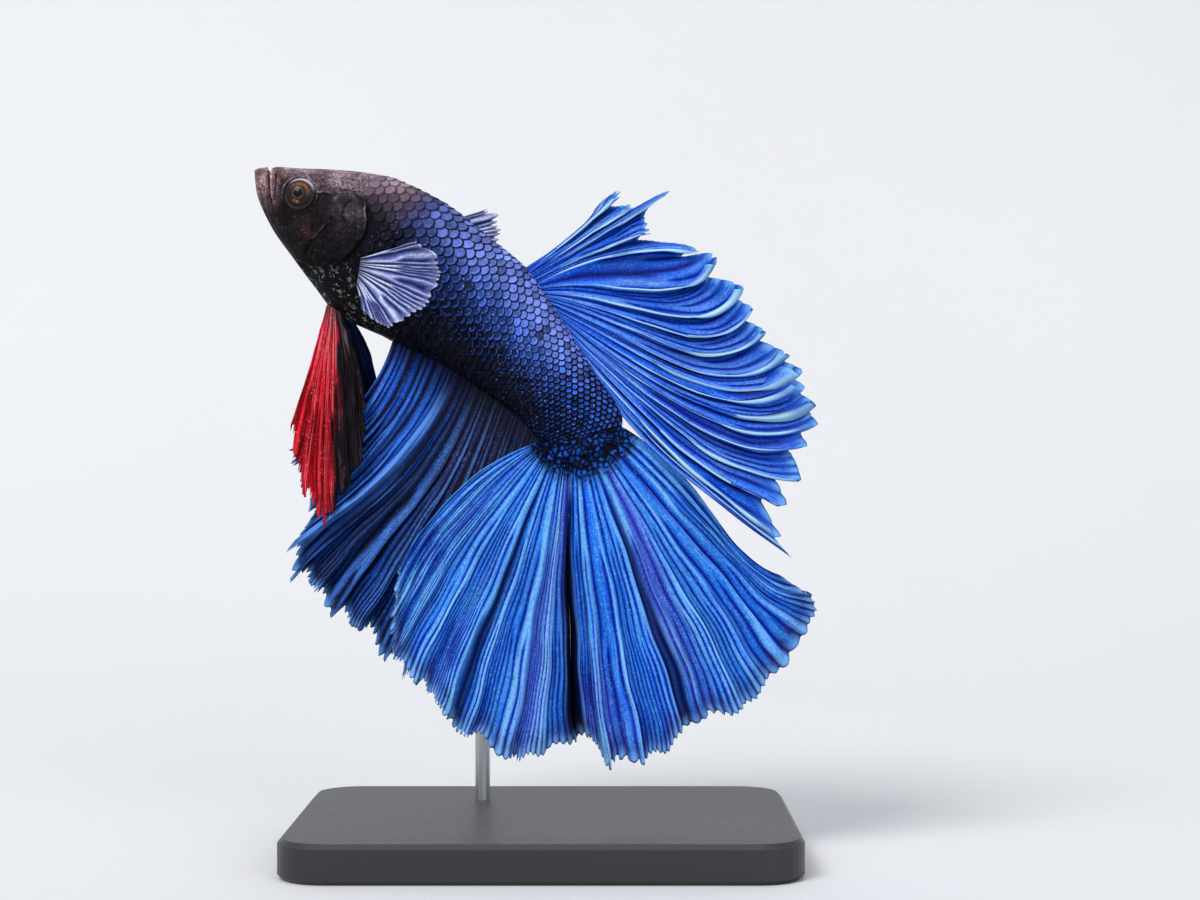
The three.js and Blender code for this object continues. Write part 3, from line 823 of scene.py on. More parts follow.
@dataclass(frozen=True)
class Pigments:
    """The colours that skin and scales share."""

    # Near-black: the dark skin between the scales, also laid as painted shade in creases, the pit and
    # folds, and as painted shadow behind the gill cover
    gap: Colour = srgb(7, 6, 12)
    cheek: Colour = srgb(27, 21, 26)
    throat: Colour = srgb(12, 10, 14)
    blush: Colour = srgb(92, 52, 54)
    # A painted pool of light on the gill cover's upper rear
    cover_highlight: Colour = srgb(118, 104, 118)
    # The head's pale top, partly its own colour and partly painted light from above
    nape: Colour = srgb(152, 128, 142)
    lip: Colour = srgb(164, 132, 138)
    bronze: Colour = srgb(112, 74, 56)
    cover: Colour = srgb(31, 26, 35)
    # Pale rims that carry painted highlights: the eye socket's upper rim, the lip under the pit and the
    # gill cover's rim
    pale_rim_highlight: Colour = srgb(170, 160, 185)
    lit_edge: Colour = srgb(206, 164, 152)
    shoulder: Colour = srgb(70, 62, 82)
    # The back's paler blue, partly the scales' own colour and partly painted light from above
    back: Colour = srgb(116, 136, 226)
    flank: Colour = srgb(68, 110, 218)
    belly: Colour = srgb(34, 70, 140)
    stem: Colour = srgb(20, 92, 214)
    breast: Colour = srgb(132, 142, 138)


@dataclass(frozen=True)
class Markings:
    """The fish's colours, by section number, turn and place in side view.

    crease_shade is how dark the painted shade in the lines pressed into the head is, and
    lit_shares how bright the painted highlight on each of LIT_RIDGES is.
    """

    pigments: Pigments = Pigments()
    features: Head = Head()
    crease_shade: float = 0.95
    lit_shares: tuple[float, ...] = (0.9, 0.6, 0.16, 0.5)

    def head(self, x: Array, z: Array, turn: Array) -> Array:
        """The head's colours.

        Args:
            x: side view's x.
            z: side view's z.
            turn: turns around the body.

        Returns:
            The colours, one row each.
        """
        p = self.pigments
        side = np.abs(np.cos(turn))
        # The top of the head is paler: its pale skin, with painted light from above
        top = smooth(0.25, 0.95, np.sin(turn)) * smooth(67.5, 70.0, z)
        muzzle = smooth(-27.4, -28.6, x) * smooth(66.6, 70.2, z)
        # The socket's pale rim, shown only on its upper part: partly pale skin, partly painted light
        # from above
        socket = bump_at(EYE.distance(x, z) - EYE.radius * 1.07, 0.1) * smooth(67.6, 70.6, z)
        spots = [
            # Darker towards the throat: its dark skin, with painted shade under the head
            (smooth(66.0, 61.5, z), p.throat),
            (smooth(0.0, 3.0, x + 24.0) * smooth(61.5, 64.5, z) * 0.8, p.cover),
            (top, p.nape),
            (muzzle * 0.85, p.lip),
            (0.3 * side * bump_at(np.hypot(x + 24.8, z - 65.2), 0.9), p.blush),
            # A painted pool of light on the gill cover's upper rear
            (0.55 * side * bump_at(np.hypot(x + 20.2, z - 67.0), 1.3), p.cover_highlight),
            (0.55 * side * bump_at(np.hypot(x + 27.6, z - 70.9), 0.7), p.bronze),
            (0.6 * side * socket, p.pale_rim_highlight),
            # A painted highlight on the lip under the pit, and painted shade in the pit's hollow
            (0.6 * side * bump_at(self.features.under_pit(x, z), 0.16), p.pale_rim_highlight),
            (0.75 * side * bump_at(PIT.distance(x, z), 0.22), p.gap),
        ]
        # Painted shade along every crease pressed into the head
        for line in SHADED_CREASES:
            mark = bump_at(line.distance(x, z), line.width * 0.9)
            spots.append((self.crease_shade * side * mark, p.gap))
        # Painted highlights along the raised ridges of the jaw, lip and cheek bones
        for line, share in zip(LIT_RIDGES, self.lit_shares):
            mark = bump_at(line.distance(x, z), line.width * 0.6)
            spots.append((share * side * mark, p.lit_edge))
        return blend(rows_of(p.cheek, len(x)), *spots)

    def flank(self, t: Array, turn: Array) -> Array:
        """The colours of the scales' bright middles.

        Args:
            t: section numbers.
            turn: turns around the body.

        Returns:
            The colours, one row each.
        """
        p = self.pigments
        rise = np.sin(turn)
        return blend(
            rows_of(p.flank, len(t)),
            # Paler on the back and darker towards the belly: partly the scales' own colour, partly
            # painted light from above and painted shade below
            (smooth(0.1, 0.9, rise) * smooth(5.0, 6.4, t), p.back),
            (smooth(-0.1, -0.75, rise), p.belly),
            (smooth(9.2, 10.6, t) * 0.85, p.stem),
            (smooth(6.9, 4.6, t) * smooth(-0.5, 0.3, rise), p.shoulder),
            # The nape's scales take the head's pale top, partly painted light from above
            (smooth(5.6, 4.2, t) * smooth(0.5, 0.95, rise), p.nape),
            (smooth(6.4, 5.6, t) * smooth(-0.45, -0.8, rise), p.breast),
        )

    def fill(self, t: Array, turn: Array) -> Array:
        """How brightly the middles of the scales are filled.

        They are brightest on the back: partly their own colour, partly painted light from above.

        Args:
            t: section numbers.
            turn: turns around the body.

        Returns:
            The brightness of each, from 0 to 1.
        """
        rise = np.sin(turn)
        level = 0.02 + 0.84 * smooth(-0.3, 0.75, rise)
        level = level * (1.0 - 0.7 * smooth(8.8, 6.6, t) * smooth(0.8, 0.25, rise))
        level = level * (1.0 - 0.5 * smooth(9.2, 11.0, t))
        return level * (1.0 - 0.78 * smooth(7.0, 5.2, t) * smooth(1.0, 0.55, rise))

    def band(self, t: Array, turn: Array) -> Array:
        """How brightly the rear edges of the scales are lined.

        Args:
            t: section numbers.
            turn: turns around the body.

        Returns:
            The brightness of each, from 0 to 1.
        """
        rise = np.sin(turn)
        level = 0.08 + 0.6 * smooth(-0.8, 0.1, rise)
        level = level * (1.0 - 0.6 * smooth(0.2, 0.8, rise)) + 0.35 * smooth(9.4, 10.6, t)
        level = level * (1.0 - 0.45 * smooth(8.4, 6.6, t) * smooth(0.5, 0.1, rise))
        level = level * (1.0 - 0.65 * smooth(6.7, 5.2, t) * smooth(0.9, 0.3, rise))
        return level * (1.0 - smooth(6.4, 5.6, t) * smooth(-0.25, -0.5, rise))

    def nape(self, t: Array, turn: Array) -> Array:
        """1 on the nape, where skin shows between low scales."""
        return smooth(6.4, 5.0, t) * smooth(0.3, 0.65, np.sin(turn))


# ---- skin ----


def tail_dots(paint: Paint, grain: Value) -> Value:
    """The small blue dots on black where the stem runs out into the tail fin.

    Args:
        paint: the material that they are part of.
        grain: its finest noise.

    Returns:
        The dots' colour.
    """
    place = paint.warped(paint.place(), 1100.0, 0.0003)
    cells = paint.cells(place, 1650.0, "DISTANCE_TO_EDGE").step(0.07, 0.32)
    tone = paint.noise(place, 1500.0, 2.0, 0.6).step(0.36, 0.62)
    lit = cells * (grain * 0.7 + 0.45) * (tone * 0.8 + 0.2)
    return paint.mixed(srgb(2, 4, 14), (lit, srgb(30, 104, 232)))


@dataclass
class Skin:
    """The one skin of head, jaw, gill covers, trunk and stem.

    spread is how far down the rings each section lies: the head takes more than half of them.
    """

    body: Body
    features: Head = Head()
    markings: Markings = Markings()
    segments: int = 232
    rings: int = 420
    weld_mm: float = 0.0005
    nodes: tuple[str, ...] = (
        "head", "lower_jaw", "gill_cover_left", "gill_cover_right", "trunk", "tail_stem"
    )
    spread: Keyed = Keyed(
        [(0.0, 0.0), (0.04, 0.12), (0.16, 0.85), (0.36, 2.2), (0.6, 4.6), (0.8, 8.2), (1.0, LAST)]
    )

    def build(self) -> bpy.types.Object:
        """Makes the skin from a sphere that is drawn out along the body.

        Returns:
            The piece.
        """
        bpy.ops.mesh.primitive_uv_sphere_add(segments=self.segments, ring_count=self.rings, radius=1.0)
        piece = start_piece("skin")
        ball = read_points(piece)
        down = np.arccos(np.clip(ball[:, 2], -1, 1)) / math.pi
        turn = np.arctan2(ball[:, 1], ball[:, 0])
        t = np.clip(self.spread(down), 0.0, LAST)
        x, z = self.body.left_view(t, turn)
        near_head = smooth(6.0, 5.0, t)
        relief = self.features.relief(x, z, turn) * near_head
        write_points(piece, self.body.point(t, turn) + self.body.normal(t, turn) * relief[:, None])
        self.paint_on(piece, t, turn)
        close_up(piece, self.weld_mm)
        return piece

    def paint_on(self, piece: bpy.types.Object, t: Array, turn: Array) -> None:
        """Keeps the colours and masks that the material reads.

        Args:
            piece: the skin.
            t: each vertex's section number.
            turn: its turn around the body.
        """
        x, z = self.body.left_view(t, turn)
        on_head = self.features.within(x, z)
        painted = np.maximum(on_head, self.markings.nape(t, turn))
        gaps = rows_of(self.markings.pigments.gap, len(t))
        on_side = smooth(0.1, 0.4, np.abs(np.cos(turn))) * smooth(6.0, 5.0, t)
        breast = smooth(6.9, 6.0, t) * smooth(-0.2, -0.45, np.sin(turn))
        keep_pigment(piece, blend(gaps, (painted, self.markings.head(x, z, turn))))
        keep_values(piece, "head", painted)
        keep_values(piece, "beyond", self.features.beyond_cover(x, z))
        keep_values(piece, "rear", self.features.rear(x, z) * on_side)
        keep_values(piece, "tail", smooth(10.7, 11.1, t))
        keep_values(piece, "breast", breast * (1 - on_head))

    def dress(self) -> bpy.types.Material:
        """Satin skin, with fine plates and pores on the head, a painted highlight along the gill
        cover's upper rim and painted shadow behind its lower rim.

        Returns:
            The material.
        """
        p = self.markings.pigments
        paint = Paint("betta_skin")
        place = paint.place()
        on_head = paint.kept("head")
        beyond = paint.kept("beyond")
        rear = paint.kept("rear")
        fine = paint.noise(place, 5600.0, 4.0, 0.7)
        grain = paint.noise(place, 2300.0, 4.0, 0.65)
        blotch = paint.noise(place, 540.0, 3.0, 0.6)
        plates = paint.cells(paint.warped(place, 800.0, 0.0004), 950.0, "DISTANCE_TO_EDGE")
        seen = paint.noise(place, 420.0, 2.0, 0.5).step(0.46, 0.62)
        specks = paint.noise(place, 4200.0, 2.0, 0.6).step(0.66, 0.75) * on_head

        shade = (fine.step(0.34, 0.68) * 1.25 + 0.25) * (grain.step(0.34, 0.66) * 0.9 + 0.5)
        shade = shade * (blotch.step(0.34, 0.68) * 0.9 + 0.5)
        # Painted highlight along the gill cover's free rim, on its upper part only
        rim = (beyond + (grain - 0.5) * 0.16 + 0.16).near(0.11, 0.02)
        rim = rim * rear * grain.step(0.4, 0.6) * paint.split(place)[2].step(0.0648, 0.0664)
        # Painted shadow in the gap behind the gill cover's lower rim
        gap = beyond.step(-0.03, 0.08) * beyond.step(1.8, 0.6) * rear
        flecks = paint.noise(place, 2300.0, 2.0, 0.6).step(0.53, 0.58)
        flecks = flecks * paint.noise(place, 3900.0).step(0.4, 0.52)
        flecks = flecks * paint.noise(place, 900.0, 1.0, 0.5).step(0.42, 0.52)
        fleck_colour = paint.mixed(srgb(70, 84, 84), (fine.step(0.35, 0.65), p.breast))
        colour = paint.mixed(
            paint.scaled(paint.kept("pigment", "Color"), shade),
            (plates.step(0.05, 0.0) * seen * on_head * 0.5, srgb(10, 7, 11)),
            (specks * (blotch.step(0.4, 0.6) * 0.35 + 0.08), srgb(190, 175, 190)),
            (rim * 0.7, p.pale_rim_highlight),
            (gap * 0.95, p.gap),
            (flecks * paint.kept("breast") * 0.9, fleck_colour),
            (paint.kept("tail"), tail_dots(paint, fine)),
        )
        height = plates.step(0.0, 0.12) * seen * 0.6 + grain * 0.5 + fine * 0.45
        return paint.finish(
            {
                "Base Color": colour,
                "Roughness": 0.62 - 0.2 * grain,
                "Normal": paint.bump(height * (on_head * 0.7 + 0.3), 0.12, 1.0),
                "Specular IOR Level": 0.07,
            }
        )


# ---- scales ----


@dataclass
class Scales:
    """Rings of overlapping scales, from the nape to the root of the tail fin.

    around is the number of scales round the body; first and last are the section numbers between
    which they lie; step is how far apart the rings stand, as a share of a scale's width. The radii
    are shares of that width too, and the heights are in millimetres. cells is how finely one scale is
    cut, and patch how large it is in the bake map.
    """

    body: Body
    features: Head = Head()
    markings: Markings = Markings()
    around: int = 30
    first: float = 3.9
    last: float = 11.15
    step: float = 0.68
    long_radius: float = 0.68
    wide_radius: float = 0.61
    free_height: float = 0.085
    root_height: float = -0.07
    crown: float = 0.03
    thickness: float = 0.045
    cells: int = 5
    patch: float = 0.003
    uneven_length: float = 0.08
    uneven_slew: float = 0.12
    uneven_tilt: float = 0.25
    uneven_tone: float = 0.18

    def template(self) -> tuple[Array, list[tuple[int, ...]]]:
        """Makes one scale as a flat round plate.

        Returns:
            Its points, from -1 to 1, and its faces.
        """
        deselect()
        bpy.ops.mesh.primitive_grid_add(x_subdivisions=self.cells, y_subdivisions=self.cells, size=2.0)
        plate = start_piece("scale")
        bpy.ops.object.mode_set(mode="EDIT")
        bpy.ops.mesh.select_all(action="SELECT")
        bpy.ops.mesh.extrude_region_move(TRANSFORM_OT_translate={"value": (0.0, 0.0, -1.0)})
        bpy.ops.object.mode_set(mode="OBJECT")
        square = read_points(plate)
        faces = [tuple(face.vertices) for face in plate.data.polygons]
        bpy.data.objects.remove(plate, do_unlink=True)
        x, y = square[:, 0], square[:, 1]
        disc = np.stack([x * np.sqrt(1 - y * y / 2), y * np.sqrt(1 - x * x / 2), square[:, 2]], -1)
        return disc, faces

    def roots(self, left: bool) -> tuple[Array, Array, Array]:
        """Lays out one side's scales.

        Args:
            left: whether it is the left side.

        Returns:
            The section number, the share of the girth and the width of every scale.
        """
        rows, t, ring = [], self.first, 0
        while t < self.last:
            width = float(self.body.girth_at(t)) / self.around
            shares = (np.arange(self.around) + 0.5 * (ring % 2)) / self.around
            shares = shares[(shares < 0.5) == left]
            rows.append(np.stack([np.full(len(shares), t), shares, np.full(len(shares), width)], -1))
            t += self.step * width / self.body.pace(t)
            ring += 1
        t, share, width = np.concatenate(rows).T
        turn = self.body.turn_at(t, share)
        keep = self.covered(t, turn)
        return t[keep], share[keep], width[keep]

    def covered(self, t: Array, turn: Array) -> Array:
        """Tells where scales grow: behind the head and on the nape, but not on the breast.

        Args:
            t: section numbers.
            turn: turns around the body.

        Returns:
            True for each place that has a scale.
        """
        x, z = self.body.left_view(t, turn)
        beyond = self.features.beyond_cover(x, z)
        nape = (np.sin(turn) > 0.5) & (x > -21.4) & (beyond > 0.1)
        free = (self.features.within(x, z) < 0.5) & (beyond > 0.25 + 0.6 * smooth(67.0, 63.5, z))
        bare_breast = (t < 6.5) & (np.sin(turn) < -0.3)
        return (free | nape) & ~bare_breast

    def build(self, name: str, left: bool) -> bpy.types.Object:
        """Lays one side's scales.

        Args:
            name: the piece's name.
            left: whether it is the left side.

        Returns:
            The piece: all scales of that side in one mesh.
        """
        disc, faces = self.template()
        t0, share0, width0 = self.roots(left)
        random = np.random.default_rng(11 if left else 12)
        count, size = len(t0), len(disc)
        stretch = 1.0 + self.uneven_length * random.standard_normal((count, 1))
        slew = self.uneven_slew * random.standard_normal((count, 1))
        tilt = 1.0 + self.uneven_tilt * random.standard_normal((count, 1))
        along = disc[None, :, 0] * stretch
        across = disc[None, :, 1] + slew * disc[None, :, 0]
        t = t0[:, None] + along * self.long_radius * (width0 / self.body.pace(t0))[:, None]
        t = np.clip(t, 0.01, LAST - 0.02)
        turn = self.body.turn_at(t, share0[:, None] + across * self.wide_radius / self.around)
        small = np.clip(width0 / width0.max(), 0.4, 1.0)[:, None]
        lift = self.root_height + (self.free_height * tilt - self.root_height) * (0.5 + 0.5 * along)
        lift = lift + self.crown * (1 - across**2)
        lift = small * lift + self.thickness * disc[None, :, 2]
        x, z = self.body.left_view(t, turn)
        lift = lift + self.features.relief(x, z, turn) * smooth(6.0, 5.0, t)
        points = self.body.point(t, turn) + self.body.normal(t, turn) * lift[..., None]
        joined = [tuple(v + size * k for v in face) for k in range(count) for face in faces]
        mesh = bpy.data.meshes.new(name)
        mesh.from_pydata((points.reshape(-1, 3) * MM).tolist(), [], joined)
        piece = bpy.data.objects.new(name, mesh)
        bpy.context.scene.collection.objects.link(piece)
        self.paint_on(piece, t0, share0, disc)
        close_up(piece, 0.00001)
        return piece

    def paint_on(self, piece: bpy.types.Object, t0: Array, share0: Array, disc: Array) -> None:
        """Keeps each scale's markings and its patch of the bake map.

        Args:
            piece: the joined scales.
            t0: each scale's section number.
            share0: each scale's share of the girth.
            disc: the template's points.
        """
        count, size = len(t0), len(disc)
        turn = self.body.turn_at(t0, share0)
        random = np.random.default_rng(5)
        tone = 1.0 + self.uneven_tone * random.standard_normal(count)
        colour = self.markings.flank(t0, turn) * tone[:, None]
        keep_pigment(piece, np.repeat(colour, size, axis=0))
        for mask, values in (
            ("fill", self.markings.fill(t0, turn) * tone),
            ("band", self.markings.band(t0, turn)),
            ("bare", self.markings.nape(t0, turn)),
            ("dot", smooth(9.0, 10.6, t0)),
        ):
            keep_values(piece, mask, np.repeat(values, size))
        lie = np.tile(disc, (count, 1))
        lie[:, 2] = np.repeat(random.random(count), size)
        keep_values(piece, "lie", lie)
        root = np.stack([t0 / LAST, share0], -1) * 0.98 + 0.01
        local = disc[None, :, :2] * 0.5
        patches = (root[:, None, :] + local * self.patch).reshape(-1, 2)
        corner = np.empty(len(piece.data.loops), dtype=np.int64)
        piece.data.loops.foreach_get("vertex_index", corner)
        layer = piece.data.uv_layers.new(name="OFBake")
        layer.data.foreach_set("uv", patches[corner].ravel())

    def dress(self) -> bpy.types.Material:
        """Scales with a mottled middle, a broken bright rear edge and a dark rim.

        Returns:
            Material slots that the fins are listed with; nothing in this script reads them.
        """
        paint = Paint("betta_scales")
        place = paint.place()
        along, across, chance = paint.split(paint.kept("lie", "Vector"))
        lined = paint.kept("band")
        pigment = paint.kept("pigment", "Color")
        grain = paint.noise(place, 3600.0, 4.0, 0.7)
        mottle = paint.noise(place, 1500.0, 3.0, 0.65)
        outward = (along * along + across * across) ** 0.5
        outward = outward + paint.kept("dot") * 0.26
        inside = (outward + (grain - 0.5) * 0.34 + (mottle - 0.5) * 0.16).step(0.94, 0.74)
        band = inside * (outward + (mottle - 0.5) * 0.5).step(0.45, 0.7) * along.step(-0.3, 0.5)
        band = band * mottle.step(0.3, 0.6)
        middle = inside * (outward + (mottle - 0.5) * 0.9).step(1.05, 0.6)
        lit = paint.kept("fill") * middle * (mottle * 1.4 + 0.25)
        lit = lit + lined * band * (mottle * 1.2 + 0.3)
        glints = paint.noise(place, 3700.0, 1.0, 0.5).step(0.66, 0.74) * inside
        colour = paint.mixed(
            srgb(3, 3, 7),
            (chance.step(0.3, 0.8), srgb(16, 10, 11)),
            (paint.kept("bare") * 0.35, pigment),
            (lit * (grain * 1.3 + 0.35), pigment),
            (glints * (lined * 0.7 + 0.1), srgb(150, 182, 252)),
        )
        return paint.finish(
            {
                "Base Color": colour,
                "Roughness": 0.52 - 0.1 * band,
                "Metallic": 0.1 * band,
                "Normal": paint.bump(mottle * 0.5 + grain * 0.7 + inside * 0.3, 0.05, 0.8),
                "Specular IOR Level": 0.05,
            }
        )


# ---- fins ----


@dataclass(frozen=True)
class Ray:
    """One key ray of a fin.

    at is its place across the fan; leave the direction in which it leaves the root, in degrees under
    +X; sweep how far it has turned at its tip; curl a further turn close to the tip; out how far its
    tip stands from the root in Y.
    """

    at: float
    leave: float
    sweep: float
    length: float
    out: float
    curl: float = 0.0


@dataclass(frozen=True)
class Pleat:
    """A narrow fold that runs down the fan.

    at is its place across the fan at the root, and drift how far it has moved across at the margin.
    It stands back from the fan by its depth, or out of it where depth is below 0.
    """

    at: float
    width: float
    depth: float
    drift: float = 0.0


@dataclass(frozen=True)
class Web:
    """How a fin's web and rays are made up.

    stems is the number of rays at the root, each of which forks twice, at the places along it that
    forks gives. tips are the places across the fan where the margin reaches out. ruffle is how far
    the folds stand out, lap how far each lies over the next, notch how deep the margin cuts in
    between two tips, and fringe how far single rays reach past the web.
    """

    stems: int
    tips: tuple[float, ...]
    ruffle: float
    lap: float
    notch: float
    fringe: float
    forks: tuple[float, float] = (0.22, 0.55)
    thickness: float = 0.3
    pleats: tuple[Pleat, ...] = ()
    blade_edge: float = 0.02


class Tint(Enum):
    """The colouring of a fin."""

    BLUE = "blue"
    RIBBON_BLUE = "ribbon blue"
    SHADED_BLUE = "shaded blue"
    RED = "red"
    # A red fin in shade, painted near-black as painted shade
    DARK = "dark"
    PALE = "pale"


FORK_LENGTH = 0.18  # how far along a ray, as a share of it, its fork takes to open
CREST = 0.8  # where a fold's crest stands, as a share of the fold's width


@dataclass(frozen=True)
class Cut:
    """One piece of a fin: its name, its cells across and along, and its part of the fan."""

    name: str
    columns: int
    rows: int
    span: tuple[float, float] = (0.0, 1.0)


@dataclass
class Fin:
    """One fin: a fan of rays from a root line, as a thin closed web.

    name is the CAD node that it stands for. wide_lobe is how wide a lobe with a full notch is, as a
    share of the fan; taper how much of its thickness the web loses towards the margin; margin how far
    from there, along the rays, it starts to thin out to an edge.
    """

    name: str
    root: Callable[[Array], Array]
    rays: Sequence[Ray]
    web: Web
    tint: Tint
    slot: Slot
    cuts: Sequence[Cut]
    wide_lobe: float = 0.065
    taper: float = 0.55
    margin: float = 0.02
    weld_mm: float = 0.0004

    def __post_init__(self) -> None:
        """Draws the curves across the fan."""
        self.leave = self.curve(lambda ray: ray.leave)
        self.sweep = self.curve(lambda ray: ray.sweep)
        self.curl = self.curve(lambda ray: ray.curl)
        self.length = self.curve(lambda ray: ray.length)
        self.out = self.curve(lambda ray: ray.out)

    def curve(self, measure: Callable[[Ray], float]) -> Keyed:
        """A smooth curve across the fan, through one measure of every key ray."""
        return Keyed([(ray.at, measure(ray)) for ray in self.rays])

    def fold_count(self, u: Array) -> Array:
        """How many folds lie before each place across."""
        tips = np.array(self.web.tips)
        return np.interp(u, tips, np.arange(len(tips))) + CREST

    def fold_height(self, u: Array) -> Array:
        """Tells how far the folds stand out: each rises slowly, then drops fast.

        Args:
            u: places across the fan.

        Returns:
            The heights, from -1 to 1.
        """
        share = self.fold_count(u) % 1.0
        rising = share / CREST
        falling = 1.0 - (share - CREST) / (1.0 - CREST)
        return 2.0 * smooth(0.0, 1.0, np.where(share < CREST, rising, falling)) - 1.0

    def lobe_width(self, u: Array) -> Array:
        """How wide the lobe at each place across is, where 1 is a wide one."""
        tips = np.array(self.web.tips)
        lobe = np.clip(np.searchsorted(tips, u) - 1, 0, len(tips) - 2)
        return np.clip(np.diff(tips)[lobe] / self.wide_lobe, 0.3, 1.2)

    def ray_count(self, u: Array) -> Array:
        """How many rays lie before each place across, a little unevenly."""
        wander = 0.25 * np.sin(TURN * (self.web.stems * 0.31 * u + 0.2)) + 0.2 * np.sin(TURN * 3.7 * u)
        return u * self.web.stems + wander

    def ridge(self, u: Array, v: Array) -> Array:
        """The height of the rays: 1 on a ray and 0 midway between two.

        Args:
            u: places across the fan.
            v: places along the rays.

        Returns:
            The heights.
        """
        first, second = self.web.forks
        once = smooth(first, first + FORK_LENGTH, v)
        twice = smooth(second, second + FORK_LENGTH, v)
        off = np.abs(self.ray_count(u) % 1.0 - 0.5)
        off = np.abs(off - 0.25 * once)
        off = np.abs(off - 0.125 * twice)
        half = 0.5 - 0.25 * once - 0.125 * twice
        return 1.0 - np.clip(off / half, 0, 1) ** 1.6

    def sway(self, u: Array, v: Array) -> Array:
        """How far the rays wander sideways, on a fin 30 mm long."""
        slow = 0.24 * np.sin(TURN * (2.1 * v + 3.3 * u))
        quick = 0.09 * np.sin(TURN * (4.7 * v - 9.7 * u))
        return v * (slow + quick)

    def surface(self, u: Array, v: Array) -> Array:
        """The web's middle surface.

        Args:
            u: places across the fan, rising.
            v: places along the rays, rising from 0 to 1.

        Returns:
            The places, by place across and along.
        """
        web = self.web
        height = self.fold_height(u)[:, None]
        grid_v = v[None, :]
        tooth = self.ridge(u, np.ones_like(u))[:, None]
        count = self.ray_count(u)[:, None]
        uneven = 0.5 * np.sin(TURN * count * 0.37) + 0.5 * np.sin(TURN * count * 0.83)
        notch = web.notch * self.lobe_width(u)[:, None]
        length = self.length(u)[:, None] * (1 - notch * (0.5 - 0.5 * height))
        length = length * (1 + web.fringe * (tooth - 0.6) + 0.014 * uneven)
        middle = np.concatenate([[0.0], (v[1:] + v[:-1]) / 2])[None, :]
        turned = self.sweep(u)[:, None] * middle
        heading = np.radians(self.leave(u)[:, None] + turned + self.curl(u)[:, None] * middle**4)
        pace = np.concatenate([[0.0], np.diff(v)])[None, :] * length
        start = self.root(u)
        x = start[:, 0:1] + np.cumsum(np.cos(heading) * pace, axis=1)
        z = start[:, 2:3] - np.cumsum(np.sin(heading) * pace, axis=1)
        y = start[:, 1:2] + self.out(u)[:, None] * grid_v**1.2 - web.ruffle * grid_v**1.3 * height
        for pleat in web.pleats:
            off = u[:, None] - pleat.at - pleat.drift * grid_v
            y = y + pleat.depth * grid_v * bump_at(off, pleat.width)
        across = unit(np.stack([np.gradient(x, axis=0), np.zeros_like(x), np.gradient(z, axis=0)], -1))
        slide = web.lap * grid_v**1.6 * (0.5 + 0.5 * height) ** 2
        slide = slide + self.sway(u[:, None], grid_v) * length / 30.0
        return np.stack([x, y, z], -1) + across * slide[..., None]

    def thickness(self, grid_u: Array, grid_v: Array, span: tuple[float, float]) -> Array:
        """How thick the web is: most on the rays, and thinning out to its edges.

        Args:
            grid_u: places across the fan.
            grid_v: places along the rays, in columns.
            span: the part of the fan that the piece takes up.

        Returns:
            The thickness at each place, in millimetres.
        """
        from_edge = np.minimum(grid_u - span[0], span[1] - grid_u)
        inner = np.minimum(from_edge / self.web.blade_edge, 1.0)
        inner = np.sqrt(np.clip(inner, 0, 1)) * np.sqrt(np.clip((1 - grid_v) / self.margin, 0, 1))
        inner[:, 0] = 0.0
        height = self.ridge(grid_u, grid_v)
        return self.web.thickness * (0.28 + 0.72 * height) * (1.0 - self.taper * grid_v) * inner

    def build(self, cut: Cut) -> bpy.types.Object:
        """Makes a piece of the fin from a grid that is folded into a front and a back.

        Args:
            cut: the piece's name, its grid and its part of the fan.

        Returns:
            The piece.
        """
        deselect()
        bpy.ops.mesh.primitive_grid_add(
            x_subdivisions=2 * cut.columns, y_subdivisions=cut.rows, size=2.0
        )
        piece = start_piece(cut.name)
        flat = read_points(piece)
        column = np.rint((flat[:, 0] + 1) * cut.columns).astype(int)
        row = np.rint((flat[:, 1] + 1) * 0.5 * cut.rows).astype(int)
        front = column <= cut.columns
        column = np.where(front, column, 2 * cut.columns - column)
        u = np.linspace(*cut.span, cut.columns + 1)
        v = np.linspace(0.0, 1.0, cut.rows + 1)
        points = self.surface(u, v)
        normal = unit(np.cross(np.gradient(points, axis=0), np.gradient(points, axis=1)))
        grid_u, grid_v = np.meshgrid(u, v, indexing="ij")
        thick = self.thickness(grid_u, grid_v, cut.span)
        side = np.where(front, 0.5, -0.5)
        place = points[column, row] + normal[column, row] * (side * thick[column, row])[:, None]
        write_points(piece, place)
        fan = np.stack([grid_u, grid_v, self.ray_count(grid_u)], -1)
        keep_values(piece, "fan", fan[column, row])
        keep_values(piece, "folds", self.fold_count(grid_u)[column, row])
        close_up(piece, self.weld_mm)
        return piece

    def dress(self) -> bpy.types.Material:
        """The fin's colouring."""
        return FinPaint(self.tint, self.web).material()


@dataclass(frozen=True)
class FinColours:
    """The colours of one tint of fin, and how strongly each part of its pattern shows.

    edge_line is the painted highlight along each fold's edge, and fold_shade the painted shade
    under it. crest is the colour of the painted highlights and bright specks, groove the dark
    between the rays, which also serves as painted shade, and root_shade how much the root is
    darkened, partly its own colour and partly painted shade near the body.
    """

    groove: Colour
    web: Colour
    ray: Colour
    crest: Colour
    root: Colour
    margin: Colour
    tip: Colour
    streak: Colour
    edge_line: float
    fold_shade: float
    streaks: float
    root_shade: float
    root_reach: float
    highlights: float


